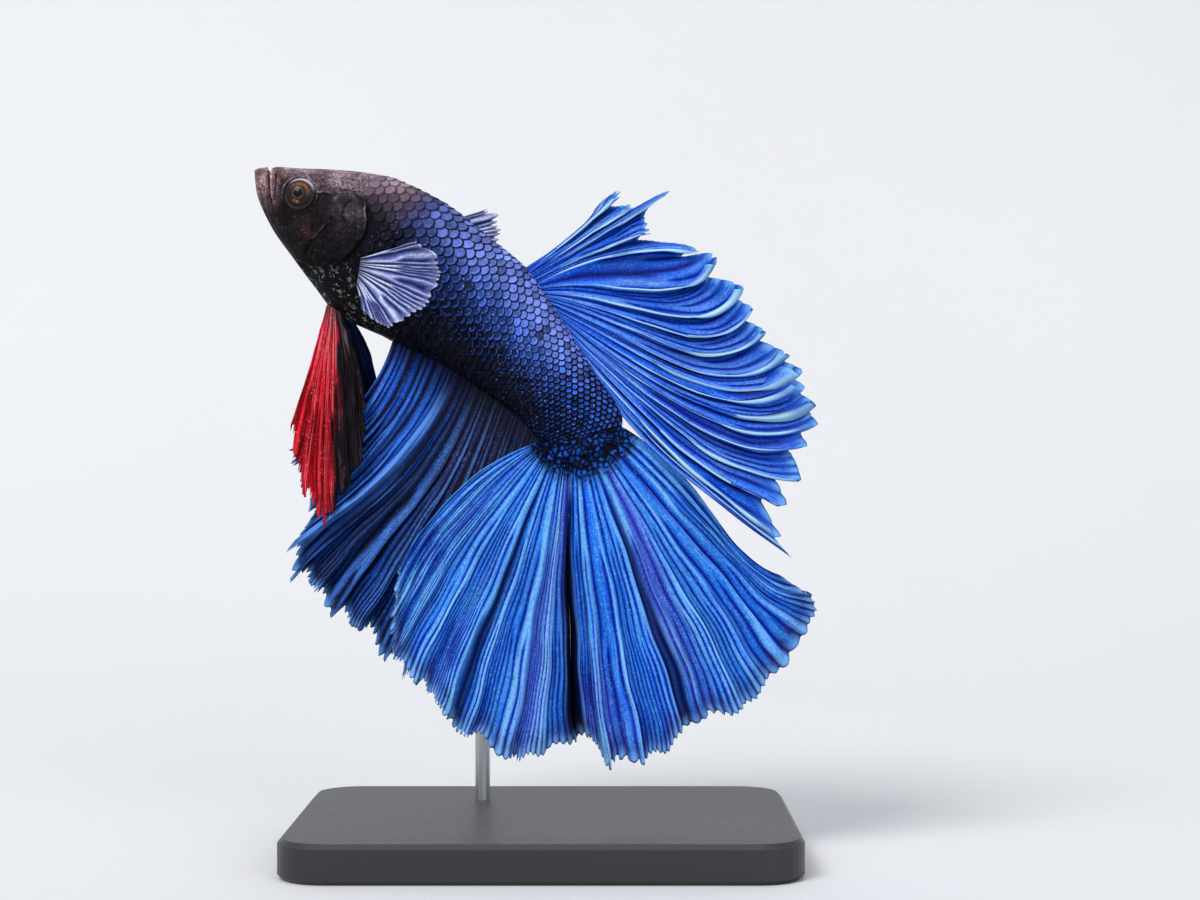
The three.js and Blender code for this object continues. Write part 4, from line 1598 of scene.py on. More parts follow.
FIN_COLOURS = {
    Tint.BLUE: FinColours(
        groove=srgb(0, 18, 92), web=srgb(12, 88, 246),
        ray=srgb(46, 146, 255), crest=srgb(138, 210, 255),
        root=srgb(6, 24, 80), margin=srgb(38, 26, 70),
        tip=srgb(130, 186, 250), streak=srgb(92, 66, 200),
        edge_line=0.35, fold_shade=0.5, streaks=0.5,
        root_shade=0.75, root_reach=0.16, highlights=0.75,
    ),
    Tint.RIBBON_BLUE: FinColours(
        groove=srgb(0, 16, 92), web=srgb(0, 66, 212),
        ray=srgb(4, 112, 255), crest=srgb(186, 236, 255),
        root=srgb(6, 44, 140), margin=srgb(20, 76, 180),
        tip=srgb(120, 190, 250), streak=srgb(44, 60, 205),
        edge_line=1.0, fold_shade=0.85, streaks=0.3,
        root_shade=0.3, root_reach=0.3, highlights=0.3,
    ),
    Tint.SHADED_BLUE: FinColours(
        groove=srgb(0, 3, 16), web=srgb(1, 32, 116),
        ray=srgb(16, 100, 236), crest=srgb(98, 158, 250),
        root=srgb(14, 9, 16), margin=srgb(14, 12, 30),
        tip=srgb(110, 170, 245), streak=srgb(58, 38, 58),
        edge_line=0.2, fold_shade=0.6, streaks=0.85,
        root_shade=0.9, root_reach=0.28, highlights=0.65,
    ),
    Tint.RED: FinColours(
        groove=srgb(84, 0, 10), web=srgb(206, 4, 30),
        ray=srgb(252, 22, 52), crest=srgb(250, 140, 152),
        root=srgb(60, 40, 46), margin=srgb(150, 8, 24),
        tip=srgb(226, 50, 66), streak=srgb(8, 6, 11),
        edge_line=0.1, fold_shade=0.4, streaks=1.0,
        root_shade=0.7, root_reach=0.16, highlights=0.3,
    ),
    # The right pelvic fin, a red fin painted near-black as painted shade
    Tint.DARK: FinColours(
        groove=srgb(2, 2, 6), web=srgb(4, 8, 22),
        ray=srgb(8, 34, 82), crest=srgb(30, 66, 120),
        root=srgb(6, 6, 10), margin=srgb(5, 5, 9),
        tip=srgb(40, 60, 100), streak=srgb(5, 5, 8),
        edge_line=0.1, fold_shade=0.5, streaks=0.5,
        root_shade=0.6, root_reach=0.2, highlights=0.2,
    ),
    Tint.PALE: FinColours(
        groove=srgb(32, 36, 76), web=srgb(112, 126, 204),
        ray=srgb(222, 230, 255), crest=srgb(236, 240, 255),
        root=srgb(30, 27, 38), margin=srgb(90, 96, 150),
        tip=srgb(206, 214, 250), streak=srgb(92, 82, 140),
        edge_line=0.0, fold_shade=0.05, streaks=0.25,
        root_shade=0.6, root_reach=0.22, highlights=0.15,
    ),
}


@dataclass
class FinPaint:
    """The material of a fin: rays, folds, streaks along the lie, specks, and a worn margin."""

    tint: Tint
    web: Web

    def __post_init__(self) -> None:
        """Starts the material with what every part of the pattern reads."""
        self.colours = FIN_COLOURS[self.tint]
        self.paint = Paint("fin_" + self.tint.value.replace(" ", "_"))
        fan = self.paint.kept("fan", "Vector")
        self.across, self.along, self.rays = self.paint.split(fan)
        self.fine = self.drawn_out(14.0, 6.0, 4.0, 0.65)
        self.strands = self.drawn_out(2.6, 2.2, 3.0, 0.55)
        self.hair = self.drawn_out(30.0, 7.0, 3.0, 0.6, 5.0)
        place = self.paint.place()
        self.mottle = self.paint.noise(place, 2100.0, 3.0, 0.65)
        self.grain = self.paint.noise(place, 5200.0, 3.0, 0.7)
        crowd = self.paint.noise(place, 420.0, 2.0, 0.6) + (self.mottle - 0.5) * 0.9
        self.beads = self.paint.cells(place, 3300.0, "F1").step(0.36, 0.16) * crowd.step(0.46, 0.62)
        which = {"W": self.rays.maths("FLOOR")}
        self.chance = self.paint.node("ShaderNodeTexWhiteNoise", {"noise_dimensions": "1D"}, which)
        self.ridge = self.ray_height()
        self.top = self.ridge.step(0.3, 0.95)
        self.streak = self.streak_mask()

    def drawn_out(
        self, across: float, along: float, detail: float, roughness: float, start: float = 0.0
    ) -> Value:
        """A noise that is drawn out along the rays.

        Args:
            across: how fine it is from ray to ray.
            along: how fine it is along a ray.
            detail: how many finer layers it has.
            roughness: how strong they are.
            start: where it starts, so that two of them differ.

        Returns:
            The noise, from 0 to 1.
        """
        place = self.paint.joined(self.rays * across, self.along * along, start)
        return self.paint.noise(place, 1.0, detail, roughness)

    def ray_height(self) -> Value:
        """The height of the rays, as Fin.ridge has it.

        Returns:
            1 on a ray and 0 midway between two.
        """
        first, second = self.web.forks
        once = self.along.step(first, first + FORK_LENGTH)
        twice = self.along.step(second, second + FORK_LENGTH)
        off = (self.rays.maths("FRACT") - 0.5).maths("ABSOLUTE")
        off = (off - once * 0.25).maths("ABSOLUTE")
        off = (off - twice * 0.125).maths("ABSOLUTE")
        half = 0.5 - once * 0.25 - twice * 0.125
        sharpness = 0.75 if self.tint is Tint.PALE else 1.5
        return 1.0 - (off / half).maths("MINIMUM", 1.0) ** sharpness

    def streak_mask(self) -> Value:
        """Where the second colour runs down the rays.

        Returns:
            1 in the second colour and 0 outside it.
        """
        across, along = self.across, self.along
        if self.tint is Tint.RED:
            ragged = self.drawn_out(2.0, 2.5, 3.0, 0.6)
            return (across + along * 0.1 + (ragged - 0.5) * 0.5).step(0.58, 0.72)
        if self.tint is Tint.SHADED_BLUE:
            ragged = self.drawn_out(0.8, 2.0, 2.0, 0.6)
            front = (across - along * 0.2 + (ragged - 0.5) * 0.35).step(0.26, 0.4)
            return front * along.step(0.8, 0.4)
        bands = self.drawn_out(0.35, 0.7, 2.0, 0.5)
        if self.tint is Tint.BLUE:
            bands = bands + (across - 0.56).near(0.13, 0.03) * 0.12
        return bands.step(0.54, 0.68)

    def shine_layers(self, above: Value) -> list[Layer]:
        """The streaks and the light on the rays, under the specks.

        Args:
            above: where the fold stands out.

        Returns:
            The layers.
        """
        c, across, along = self.colours, self.across, self.along
        early = 0.0 if self.tint is Tint.RED else c.streaks
        shine = (self.strands * 1.5 + above * 0.35 + self.chance * 0.25 - 0.35).step(0.5, 1.1)
        layers = [
            (self.streak * early * (self.ridge * 0.4 + 0.6), c.streak),
            (shine * c.highlights * self.top, c.crest),
        ]
        if self.tint is Tint.SHADED_BLUE:
            # Painted shadow of the tail fin's lower lobe across the anal fin's middle
            deep = across.step(0.33, 0.43) * (1.0 - across.step(0.6, 0.95) * along.step(0.2, 0.0))
            layers.append((deep * 0.7 * (1.0 - self.top * 0.5), c.groove))
        return layers

    def speck_layers(self) -> list[Layer]:
        """The joints of the rays, the beads on them, and a fine mottling and hatching.

        Returns:
            The layers.
        """
        c, top, grain, hair = self.colours, self.top, self.grain, self.hair
        joints = self.drawn_out(9.0, 110.0, 1.0, 0.5)
        return [
            (joints.step(0.6, 0.7) * top * 0.35 * c.highlights, c.crest),
            (self.beads * (top * 0.7 + 0.3) * c.highlights, c.crest),
            (self.mottle.step(0.46, 0.3) * 0.4, c.groove),
            (grain.step(0.5, 0.34) * 0.4, c.groove),
            (grain.step(0.56, 0.7) * (top * 0.6 + 0.2) * c.highlights, c.crest),
            (hair.step(0.47, 0.36) * 0.5, c.groove),
            (hair.step(0.56, 0.66) * top * 0.4 * c.highlights, c.crest),
        ]

    def fold_layers(self, share: Value, above: Value) -> list[Layer]:
        """The painted shade under each fold's edge and the painted highlight along it.

        Args:
            share: the place across the fold, from 0 to 1.
            above: where the fold stands out.

        Returns:
            The layers.
        """
        c, along, strands = self.colours, self.along, self.strands
        # Painted shade under each fold's edge, and a painted highlight along its crest
        under = (1.0 - above) * along.step(0.08, 0.5)
        line = (share - CREST).near(0.045, 0.01) * (along + (strands - 0.5) * 0.6).step(0.12, 0.4)
        return [
            (under * c.fold_shade * (strands * 0.9 + 0.25), c.groove),
            (line * c.edge_line * (strands * 1.3 + 0.15), c.crest),
        ]

    def pleat_layers(self, pleat: Pleat) -> list[Layer]:
        """The painted shade down a fold that is set back, or the painted shadow beside and painted
        highlight on one that stands out.

        Args:
            pleat: the fold.

        Returns:
            The layers.
        """
        c, along, width = self.colours, self.along, pleat.width
        off = self.across - along * pleat.drift - pleat.at
        line = off.near(width * 1.15, width * 0.45) * along.step(0.04, 0.2)
        # A set-back fold: painted shade down it, darkest in its middle
        if pleat.depth > 0:
            core = off.near(width * 0.8, width * 0.3) * along.step(0.15, 0.4)
            return [
                (line * min(0.95, 0.25 + 0.35 * pleat.depth), c.groove),
                (core * min(0.92, max(0.0, pleat.depth - 0.5)), Pigments.gap),
            ]
        # A fold that stands out: painted shadow beside it and a painted highlight along it
        shadow = off.step(0.0, width * 0.8) * off.step(width * 4.0, width)
        return [
            (shadow * along.step(0.04, 0.25) * 0.75, c.groove),
            (line * (self.strands + 0.35) * 0.8, c.crest),
        ]

    def root_layers(self) -> list[Layer]:
        """What is particular to one tint: the tail fin's dotted root, and the red fin's dark rear.

        Returns:
            The layers.
        """
        c, along, streak, strands = self.colours, self.along, self.streak, self.strands
        if self.tint is Tint.BLUE:
            reach = along + (strands - 0.5) * 0.07 + (self.mottle - 0.5) * 0.08
            return [(reach.step(0.12, 0.06), tail_dots(self.paint, self.fine))]
        if self.tint is Tint.RED:
            hairs = self.ridge * self.fine.step(0.5, 0.7) * streak * along.step(0.3, 0.6)
            pale = along.step(0.42, 0.1) * self.ridge * strands.step(0.45, 0.65)
            pale = pale + self.beads * (1.0 - streak) * 0.7
            return [
                (streak, c.streak),
                (hairs * 0.35, srgb(150, 110, 128)),
                (pale * 0.55, srgb(222, 178, 188)),
            ]
        return []

    def margin_layers(self) -> list[Layer]:
        """The dark, worn margin and the bright tips of the rays.

        Returns:
            The layers.
        """
        ragged = self.along + (self.fine - 0.5) * 0.06
        worn = 1.0 - self.streak if self.tint is Tint.RED else 1.0
        edge = ragged.step(0.9, 0.965) * (1.0 - self.ridge * 0.8) * 0.85
        tips = ragged.step(0.955, 1.0) * self.ridge * 0.7
        return [(edge * worn, self.colours.margin), (tips * worn, self.colours.tip)]

    def material(self) -> bpy.types.Material:
        """Lays the pattern's parts over one another.

        Returns:
            The material.
        """
        c, ridge = self.colours, self.ridge
        lit_ridge = ridge * (self.fine * 1.0 + 0.5) * (self.chance * 0.35 + 0.8)
        stops = [(0.08, c.groove), (0.42, c.web), (0.9, c.ray)]
        share = self.paint.kept("folds").maths("FRACT")
        above = share.step(0.15, CREST) * share.step(1.0, CREST)
        pleats = [layer for pleat in self.web.pleats for layer in self.pleat_layers(pleat)]
        colour = self.paint.mixed(
            self.paint.node("ShaderNodeValToRGB", {"stops": stops}, {0: lit_ridge}),
            *self.shine_layers(above),
            *self.speck_layers(),
            *self.fold_layers(share, above),
            *pleats,
            # Darker towards the root: partly the root's own colour, partly painted shade near the body
            (self.along.step(c.root_reach, 0.0) * c.root_shade, c.root),
            *self.root_layers(),
            *self.margin_layers(),
        )
        height = ridge * 0.6 + self.fine * 0.35 + self.hair * 0.35
        height = height + self.mottle * 0.2 + self.grain * 0.25
        return self.paint.finish(
            {
                "Base Color": colour,
                "Roughness": 0.5 - 0.12 * ridge,
                "Normal": self.paint.bump(height, 0.07, 0.9),
                "Specular IOR Level": 0.06,
            }
        )


@dataclass
class Finnage:
    """All the fins, each from its root on the body.

    sunk is how far a root lies under the skin. The tail fin's root is an arc: tail_middle is its middle
    in x, y and z, tail_half half its width, tail_dip how far its middle hangs below its ends, and
    tail_rise how much higher than that its ends stand towards +X and lower towards -X. tail_split is
    the place across at which the tail fin is parted into two pieces.
    """

    body: Body
    sunk: float = 0.6
    tail_middle: tuple[float, float, float] = (4.1, -4.6, 43.9)
    tail_half: float = 3.8
    tail_dip: float = 2.0
    tail_rise: float = 0.7
    tail_split: float = 0.58

    def along(self, edge: int, first: float, last: float) -> Callable[[Array], Array]:
        """A root line along the body's outline, a little under the skin.

        Args:
            edge: 0 for the back, 1 for the belly.
            first: the section number where it starts.
            last: the section number where it ends.

        Returns:
            The places on it for places across the fan, one row each.
        """

        def line(u: Array) -> Array:
            """Places on the root line."""
            frame = self.body.frame(first + (last - first) * u)
            return frame[edge] + unit(frame[2] - frame[edge]) * self.sunk

        return line

    def across_tail(self, u: Array) -> Array:
        """The tail fin's root: a shallow arc across the end of the stem.

        Args:
            u: places across the fan.

        Returns:
            The root's places, one row each.
        """
        middle_x, y, middle_z = self.tail_middle
        share = u**2 * 2 - 1
        x = middle_x + share * self.tail_half
        z = middle_z - self.tail_dip * (1 - share * share) + self.tail_rise * share
        return np.stack([x, np.full_like(x, y), z], -1)

    @staticmethod
    def between(first: Sequence[float], last: Sequence[float]) -> Callable[[Array], Array]:
        """A straight root line from one place to another."""
        return lambda u: np.array(first) + (np.array(last) - np.array(first)) * np.asarray(u)[:, None]

    def dorsal(self) -> Fin:
        """The dorsal fin, whose middle rays curl up at their tips.

        Returns:
            The fin.
        """
        rays = (
            Ray(0, -31, -8, 11.8, 0.5, -30),
            Ray(0.07, -36, -6, 12.8, 0.2, -10),
            Ray(0.13, -33, -2, 12.8, -0.3),
            Ray(0.2, -31, -2, 16.9, -0.8),
            Ray(0.27, -29, 10, 13.2, -1.2),
            Ray(0.33, -30, 35, 17.4, -1.8),
            Ray(0.39, -12, 49, 19.5, -2.6, -110),
            Ray(0.46, 0, 42, 21.9, -3.2, -115),
            Ray(0.53, 12, 33, 24.2, -3.8, -105),
            Ray(0.61, 24, 14, 27.6, -4.6, -92),
            Ray(0.69, 32, 1, 29.0, -5.4, -76),
            Ray(0.76, 39, -9, 30.9, -6.0, -60),
            Ray(0.83, 45, -9, 30.9, -6.4, -40),
            Ray(0.89, 50, -9, 30.6, -6.8, -22),
            Ray(0.94, 55, -20, 32.6, -7.2),
            Ray(1, 62, -38, 33.4, -7.4, 12),
        )
        tips = (0.0, 0.07, 0.13, 0.2, 0.27, 0.33, 0.39, 0.46, 0.5, 0.54, 0.6, 0.64, 0.69)
        tips = (*tips, 0.73, 0.765, 0.8, 0.84, 0.88, 0.92, 0.96, 1.0)
        web = Web(30, tips, ruffle=0.85, lap=0.6, notch=0.12, fringe=0.015, forks=(0.3, 0.6))
        root = self.along(0, 7.95, 9.05)
        cuts = (Cut("dorsal_web", 380, 120),)
        return Fin("dorsal_fin", root, rays, web, Tint.RIBBON_BLUE, Slot.BLUE_FIN, cuts)

    def anal(self) -> Fin:
        """The anal fin, which hangs behind the tail fin's lower lobe.

        Returns:
            The fin.
        """
        rays = (
            Ray(0, 104, 52, 16.7, -2.0, 10),
            Ray(0.1, 105, 49, 18.7, -2.0),
            Ray(0.2, 108, 42, 21.3, -2.1, -8),
            Ray(0.25, 109, 46, 23.8, -2.2, -14),
            Ray(0.3, 109, 54, 26.2, -2.2, -22),
            Ray(0.35, 108, 56, 27.8, -2.2, -32),
            Ray(0.4, 108, 51, 28.2, -2.0, -36),
            Ray(0.45, 108, 40, 28.8, -1.6, -32),
            Ray(0.5, 109, 25, 29.0, -1.2, -20),
            Ray(0.6, 110, 1, 30.3, 0.2),
            Ray(0.75, 108, 5, 29.6, 1.4),
            Ray(0.9, 107, 8, 26.6, 2.6),
            Ray(1, 104, 12, 22.0, 3.2),
        )
        tips = (0.0, 0.05, 0.13, 0.19, 0.25, 0.3, 0.35, 0.4, 0.44, 0.49, 0.55, 0.61, 0.7, 0.8, 0.9, 1.0)
        pleats = (Pleat(0.235, 0.01, 0.5), Pleat(0.3, 0.022, -0.9), Pleat(0.39, 0.03, 0.8))
        forks = (0.35, 0.7)
        web = Web(32, tips, ruffle=0.6, lap=0.3, notch=0.05, fringe=0.03, forks=forks, pleats=pleats)
        root = self.along(1, 6.8, 10.9)
        cuts = (Cut("anal_web", 380, 100),)
        return Fin("anal_fin", root, rays, web, Tint.SHADED_BLUE, Slot.BLUE_FIN, cuts)

    def caudal(self) -> Fin:
        """The tail fin: a half-moon fan with a deep fold down its middle.

        Returns:
            The fin, in two pieces.
        """
        rays = (
            Ray(0, 164, -54, 20.2, -6.4, 6),
            Ray(0.1, 148, -35, 24.0, -6.6),
            Ray(0.2, 137, -23, 26.6, -6.4),
            Ray(0.3, 121, -10, 28.2, -6.0),
            Ray(0.4, 108, 0, 30.4, -5.4),
            Ray(0.5, 98, 1, 31.6, -4.8),
            Ray(0.565, 95, -10, 29.4, -4.2),
            Ray(0.595, 92, -9, 29.2, -3.8),
            Ray(0.65, 84, -1, 31.8, -3.4),
            Ray(0.72, 76, 2, 32.2, -2.8),
            Ray(0.77, 69, 3, 30.0, -2.2),
            Ray(0.83, 58, 6, 30.6, -1.2),
            Ray(0.88, 49, 6, 29.6, -0.4),
            Ray(0.93, 42, 16, 28.2, 0.6, -40),
            Ray(0.97, 36, 38, 26.6, 1.4, -75),
            Ray(1, 29, 56, 23.2, 2.0, -70),
        )
        tips = (0.0, 0.04, 0.09, 0.13, 0.2, 0.26, 0.35, 0.4, 0.48, 0.53, 0.575, 0.6, 0.64)
        tips = (*tips, 0.7, 0.76, 0.79, 0.83, 0.86, 0.89, 0.92, 0.95, 0.975, 1.0)
        pleats = (
            Pleat(0.37, 0.02, 0.9),
            Pleat(0.58, 0.024, 2.5),
            Pleat(0.625, 0.008, 0.6),
            Pleat(0.772, 0.012, 1.0),
        )
        forks = (0.2, 0.5)
        web = Web(30, tips, ruffle=0.4, lap=0.2, notch=0.018, fringe=0.012, forks=forks, pleats=pleats)
        cuts = (
            Cut("tail_web_lower", 330, 110, (0.0, self.tail_split)),
            Cut("tail_web_upper", 260, 110, (self.tail_split, 1.0)),
        )
        return Fin("caudal_fin", self.across_tail, rays, web, Tint.BLUE, Slot.BLUE_FIN, cuts)

    def pelvics(self) -> tuple[Fin, Fin]:
        """The left pelvic fin, red in front, and the right one behind it, painted near-black as painted
        shade.

        Returns:
            The left fin and the right one.
        """
        left = (
            Ray(0, 103, 4, 13.2, -3.0),
            Ray(0.12, 102, -2, 16.6, -3.4),
            Ray(0.25, 100, -6, 19.7, -3.8),
            Ray(0.38, 97, -8, 21.8, -4.0),
            Ray(0.5, 94, -6, 22.8, -4.0),
            Ray(0.62, 88, 0, 20.9, -3.8),
            Ray(0.75, 82, 3, 18.5, -3.4),
            Ray(0.87, 74, 8, 15.0, -3.0),
            Ray(1, 66, 16, 10.4, -2.4),
        )
        right = (
            Ray(0, 104, 2, 15.2, 3.0),
            Ray(0.2, 98, -2, 19.4, 3.2),
            Ray(0.4, 90, 0, 20.8, 3.4),
            Ray(0.6, 79, 8, 17.8, 3.2),
            Ray(0.8, 64, 24, 12.8, 2.6),
            Ray(1, 50, 40, 9.0, 2.0),
        )
        tips = (0.0, 0.13, 0.27, 0.4, 0.5, 0.6, 0.72, 0.84, 0.93, 1.0)
        web = Web(11, tips, ruffle=0.25, lap=0.25, notch=0.06, fringe=0.07, forks=(0.12, 0.4))
        left_root = self.between((-23.1, 1.8, 57.5), (-21.7, 1.6, 56.8))
        right_root = self.between((-22.9, 3.2, 57.7), (-21.3, 3.4, 57.0))
        cuts = [(Cut(f"pelvic_web_{side}", 150, 90),) for side in ("left", "right")]
        return (
            Fin("pelvic_fin_left", left_root, left, web, Tint.RED, Slot.RED_FIN, cuts[0]),
            # The right pelvic fin is painted near-black as painted shade
            Fin("pelvic_fin_right", right_root, right, web, Tint.DARK, Slot.RED_FIN, cuts[1]),
        )

    def pectorals(self) -> tuple[Fin, Fin]:
        """The two pectoral fins, pale rays on a dark web.

        Returns:
            The left fin and the right one.
        """
        left = (
            Ray(0, -12, 2, 6.2, -6.0),
            Ray(0.15, 1, 2, 8.5, -6.4),
            Ray(0.3, 12, 3, 8.9, -6.6),
            Ray(0.45, 23, 3, 8.6, -6.6),
            Ray(0.6, 40, 4, 7.4, -6.4),
            Ray(0.75, 53, 5, 6.5, -6.0),
            Ray(0.9, 63, 5, 4.2, -5.2),
            Ray(1, 68, 4, 2.8, -4.4),
        )
        right = (
            Ray(0, -22, 2, 13.4, 3.2),
            Ray(0.15, -18, 2, 14.5, 3.4),
            Ray(0.3, -10, 3, 14.2, 3.4),
            Ray(0.45, 5, 3, 12.2, 3.4),
            Ray(0.6, 18, 4, 11.2, 3.2),
            Ray(0.75, 32, 5, 9.8, 3.0),
            Ray(0.9, 46, 6, 7.6, 2.6),
            Ray(1, 56, 6, 5.6, 2.2),
        )
        tips = tuple(np.linspace(0.0, 1.0, 9))
        web = Web(
            12, tips, ruffle=0.12, lap=0.05, notch=0.02, fringe=0.05, forks=(0.4, 0.95), thickness=0.26
        )
        left_root = self.between((-19.1, -2.2, 62.1), (-19.5, -2.2, 59.3))
        right_root = self.between((-19.2, 5.2, 63.4), (-19.6, 5.2, 60.8))
        cuts = [(Cut(f"pectoral_web_{side}", 160, 60),) for side in ("left", "right")]
        return (
            Fin("pectoral_fin_left", left_root, left, web, Tint.PALE, Slot.PALE_FIN, cuts[0]),
            Fin("pectoral_fin_right", right_root, right, web, Tint.PALE, Slot.PALE_FIN, cuts[1]),
        )

    def all_fins(self) -> tuple[Fin, ...]:
        """Every fin, in the order in which they are built."""
        return (self.dorsal(), self.caudal(), self.anal(), *self.pelvics(), *self.pectorals())


# ---- eyes ----


@dataclass
class Eye:
    """An eyeball with a round pupil, a thin gold ring and a dark iris.

    radius is its size across the axis, bulge how far it stands out along it, and sunk how deep its
    middle lies under the skin, in millimetres. cornea is the lens's extra rise, as a share of bulge.
    """

    body: Body
    radius: float = 1.76
    bulge: float = 1.05
    sunk: float = 0.46
    cornea: float = 0.06
    segments: int = 64
    rings: int = 40
    search: int = 160
    weld_mm: float = 0.0001

    def seat(self, left: bool) -> tuple[Array, Array, Array]:
        """Finds where on the skin one eye sits.

        Args:
            left: whether it is the left eye.

        Returns:
            The place, the outward direction and the upward direction.
        """
        t, turn = np.meshgrid(
            np.linspace(1.0, 3.0, self.search), np.linspace(-0.4, 1.3, self.search), indexing="ij"
        )
        seen = self.body.point(t, turn)
        nearest = np.argmin(EYE.distance(seen[..., 0], seen[..., 2]))
        t0, turn0 = np.array([t.flat[nearest]]), np.array([turn.flat[nearest]])
        if not left:
            turn0 = math.pi - turn0
        place = self.body.point(t0, turn0)[0]
        out = self.body.normal(t0, turn0)[0]
        up = unit(np.cross(out, np.cross(np.array([0.3, 0.0, 1.0]), out)))
        return place, out, up

    def build(self, name: str, left: bool) -> bpy.types.Object:
        """Makes one eyeball from a sphere whose pole looks outwards.

        Args:
            name: the piece's name.
            left: whether it is the left eye.

        Returns:
            The piece.
        """
        deselect()
        bpy.ops.mesh.primitive_uv_sphere_add(segments=self.segments, ring_count=self.rings, radius=1.0)
        piece = start_piece(name)
        ball = read_points(piece)
        place, out, up = self.seat(left)
        ahead = np.cross(up, out)
        off = np.hypot(ball[:, 0], ball[:, 1])
        rise = ball[:, 2] + self.cornea * bump_at(off, 0.4) * (ball[:, 2] > 0)
        middle = place - out * self.sunk
        disc = (ball[:, 0:1] * ahead + ball[:, 1:2] * up) * self.radius
        write_points(piece, middle + disc + out * rise[:, None] * self.bulge)
        keep_values(piece, "off_axis", np.where(ball[:, 2] > 0, off, 1.0))
        keep_values(piece, "above", ball[:, 1] / np.maximum(off, 1e-6))
        close_up(piece, self.weld_mm)
        return piece

    def dress(self) -> bpy.types.Material:
        """Wet, dark and ringed.

        Returns:
            The material.
        """
        paint = Paint("betta_eye")
        off = paint.kept("off_axis")
        above = paint.kept("above")
        worn = paint.noise(paint.place(), 3200.0, 3.0, 0.6).step(0.35, 0.65)
        stops = [
            (0.0, srgb(3, 3, 5)),
            (0.285, srgb(4, 4, 6)),
            (0.31, srgb(140, 114, 88)),
            (0.34, srgb(92, 68, 50)),
            (0.37, srgb(34, 22, 18)),
            (0.6, srgb(42, 28, 23)),
            (0.7, srgb(10, 8, 10)),
            (0.76, srgb(20, 16, 18)),
            (0.86, srgb(48, 41, 45)),
            (0.93, srgb(42, 36, 40)),
            (0.97, srgb(10, 8, 10)),
            (1.0, srgb(8, 7, 9)),
        ]
        dull = off.step(0.28, 0.3) * off.step(0.37, 0.35) * (1.0 - worn)
        glow = off.step(0.42, 0.55) * off.step(0.76, 0.6) * above.step(0.0, 0.95)
        lower = off.step(0.4, 0.5) * off.step(0.66, 0.52) * above.step(-0.88, -1.0)
        # A painted highlight across the top of the eye's outer ring
        upper = off.step(0.76, 0.9) * off.step(0.99, 0.95) * above.step(0.3, 1.0)
        colour = paint.mixed(
            paint.node("ShaderNodeValToRGB", {"stops": stops}, {0: off}),
            (dull * 0.75, srgb(30, 22, 20)),
            (glow * (worn * 0.8 + 0.3) * 0.75, srgb(160, 98, 72)),
            (lower * (worn + 0.3) * 0.6, srgb(170, 124, 84)),
            (upper * 0.85, srgb(214, 198, 208)),
        )
        return paint.finish(
            {
                "Base Color": colour,
                "Roughness": 0.3,
                "Specular IOR Level": 0.1,
                "Coat Weight": 0.12,
                "Coat Roughness": 0.12,
            }
        )


# ---- stand ----


class Stand:
    """The flat base and the bent rod, which keep their CAD shapes."""

    def dress(self) -> None:
        """Gives both nodes their finishes."""
        base = Paint("stand_lacquer")
        place = base.place()
        grain = base.noise(place, 1400.0, 4.0, 0.6)
        cloud = base.noise(place, 60.0, 2.0, 0.5)
        self.cover(
            "stand_base",
            base.finish(
                {
                    "Base Color": base.mixed(srgb(30, 31, 34), (cloud * 0.4, srgb(42, 43, 46))),
                    "Roughness": 0.38 + 0.12 * grain,
                    "Normal": base.bump(grain, 0.02, 0.4),
                }
            ),
        )
        rod = Paint("stand_steel")
        brushed = rod.noise(rod.stretched(rod.place(), (4000.0, 4000.0, 1.0)), 1.0, 3.0, 0.6)
        self.cover(
            "stand_rod",
            rod.finish(
                {
                    "Base Color": rod.mixed(srgb(150, 152, 156), (brushed, srgb(190, 192, 196))),
                    "Metallic": 1.0,
                    "Roughness": 0.24 + 0.16 * brushed,
                }
            ),
        )

    @staticmethod
    def cover(node: str, material: bpy.types.Material) -> None:
        """Assigns a material to a CAD node."""
        piece = bpy.data.objects[node]
        piece.data.materials.clear()
        piece.data.materials.append(material)


# ---- stage ----


@dataclass(frozen=True)
class Lamp:
    """A soft square lamp: its name, its place and size in metres, and its power in watts."""

    name: str
    place: tuple[float, float, float]
    size: float
    power: float


LAMPS = (
    Lamp("key", (-0.7, -1.0, 1.2), 0.7, 18.1),
    Lamp("top", (0.08, 0.0, 1.28), 0.64, 2.4),
    Lamp("fill", (0.96, -1.5, 0.75), 1.2, 9.45),
)


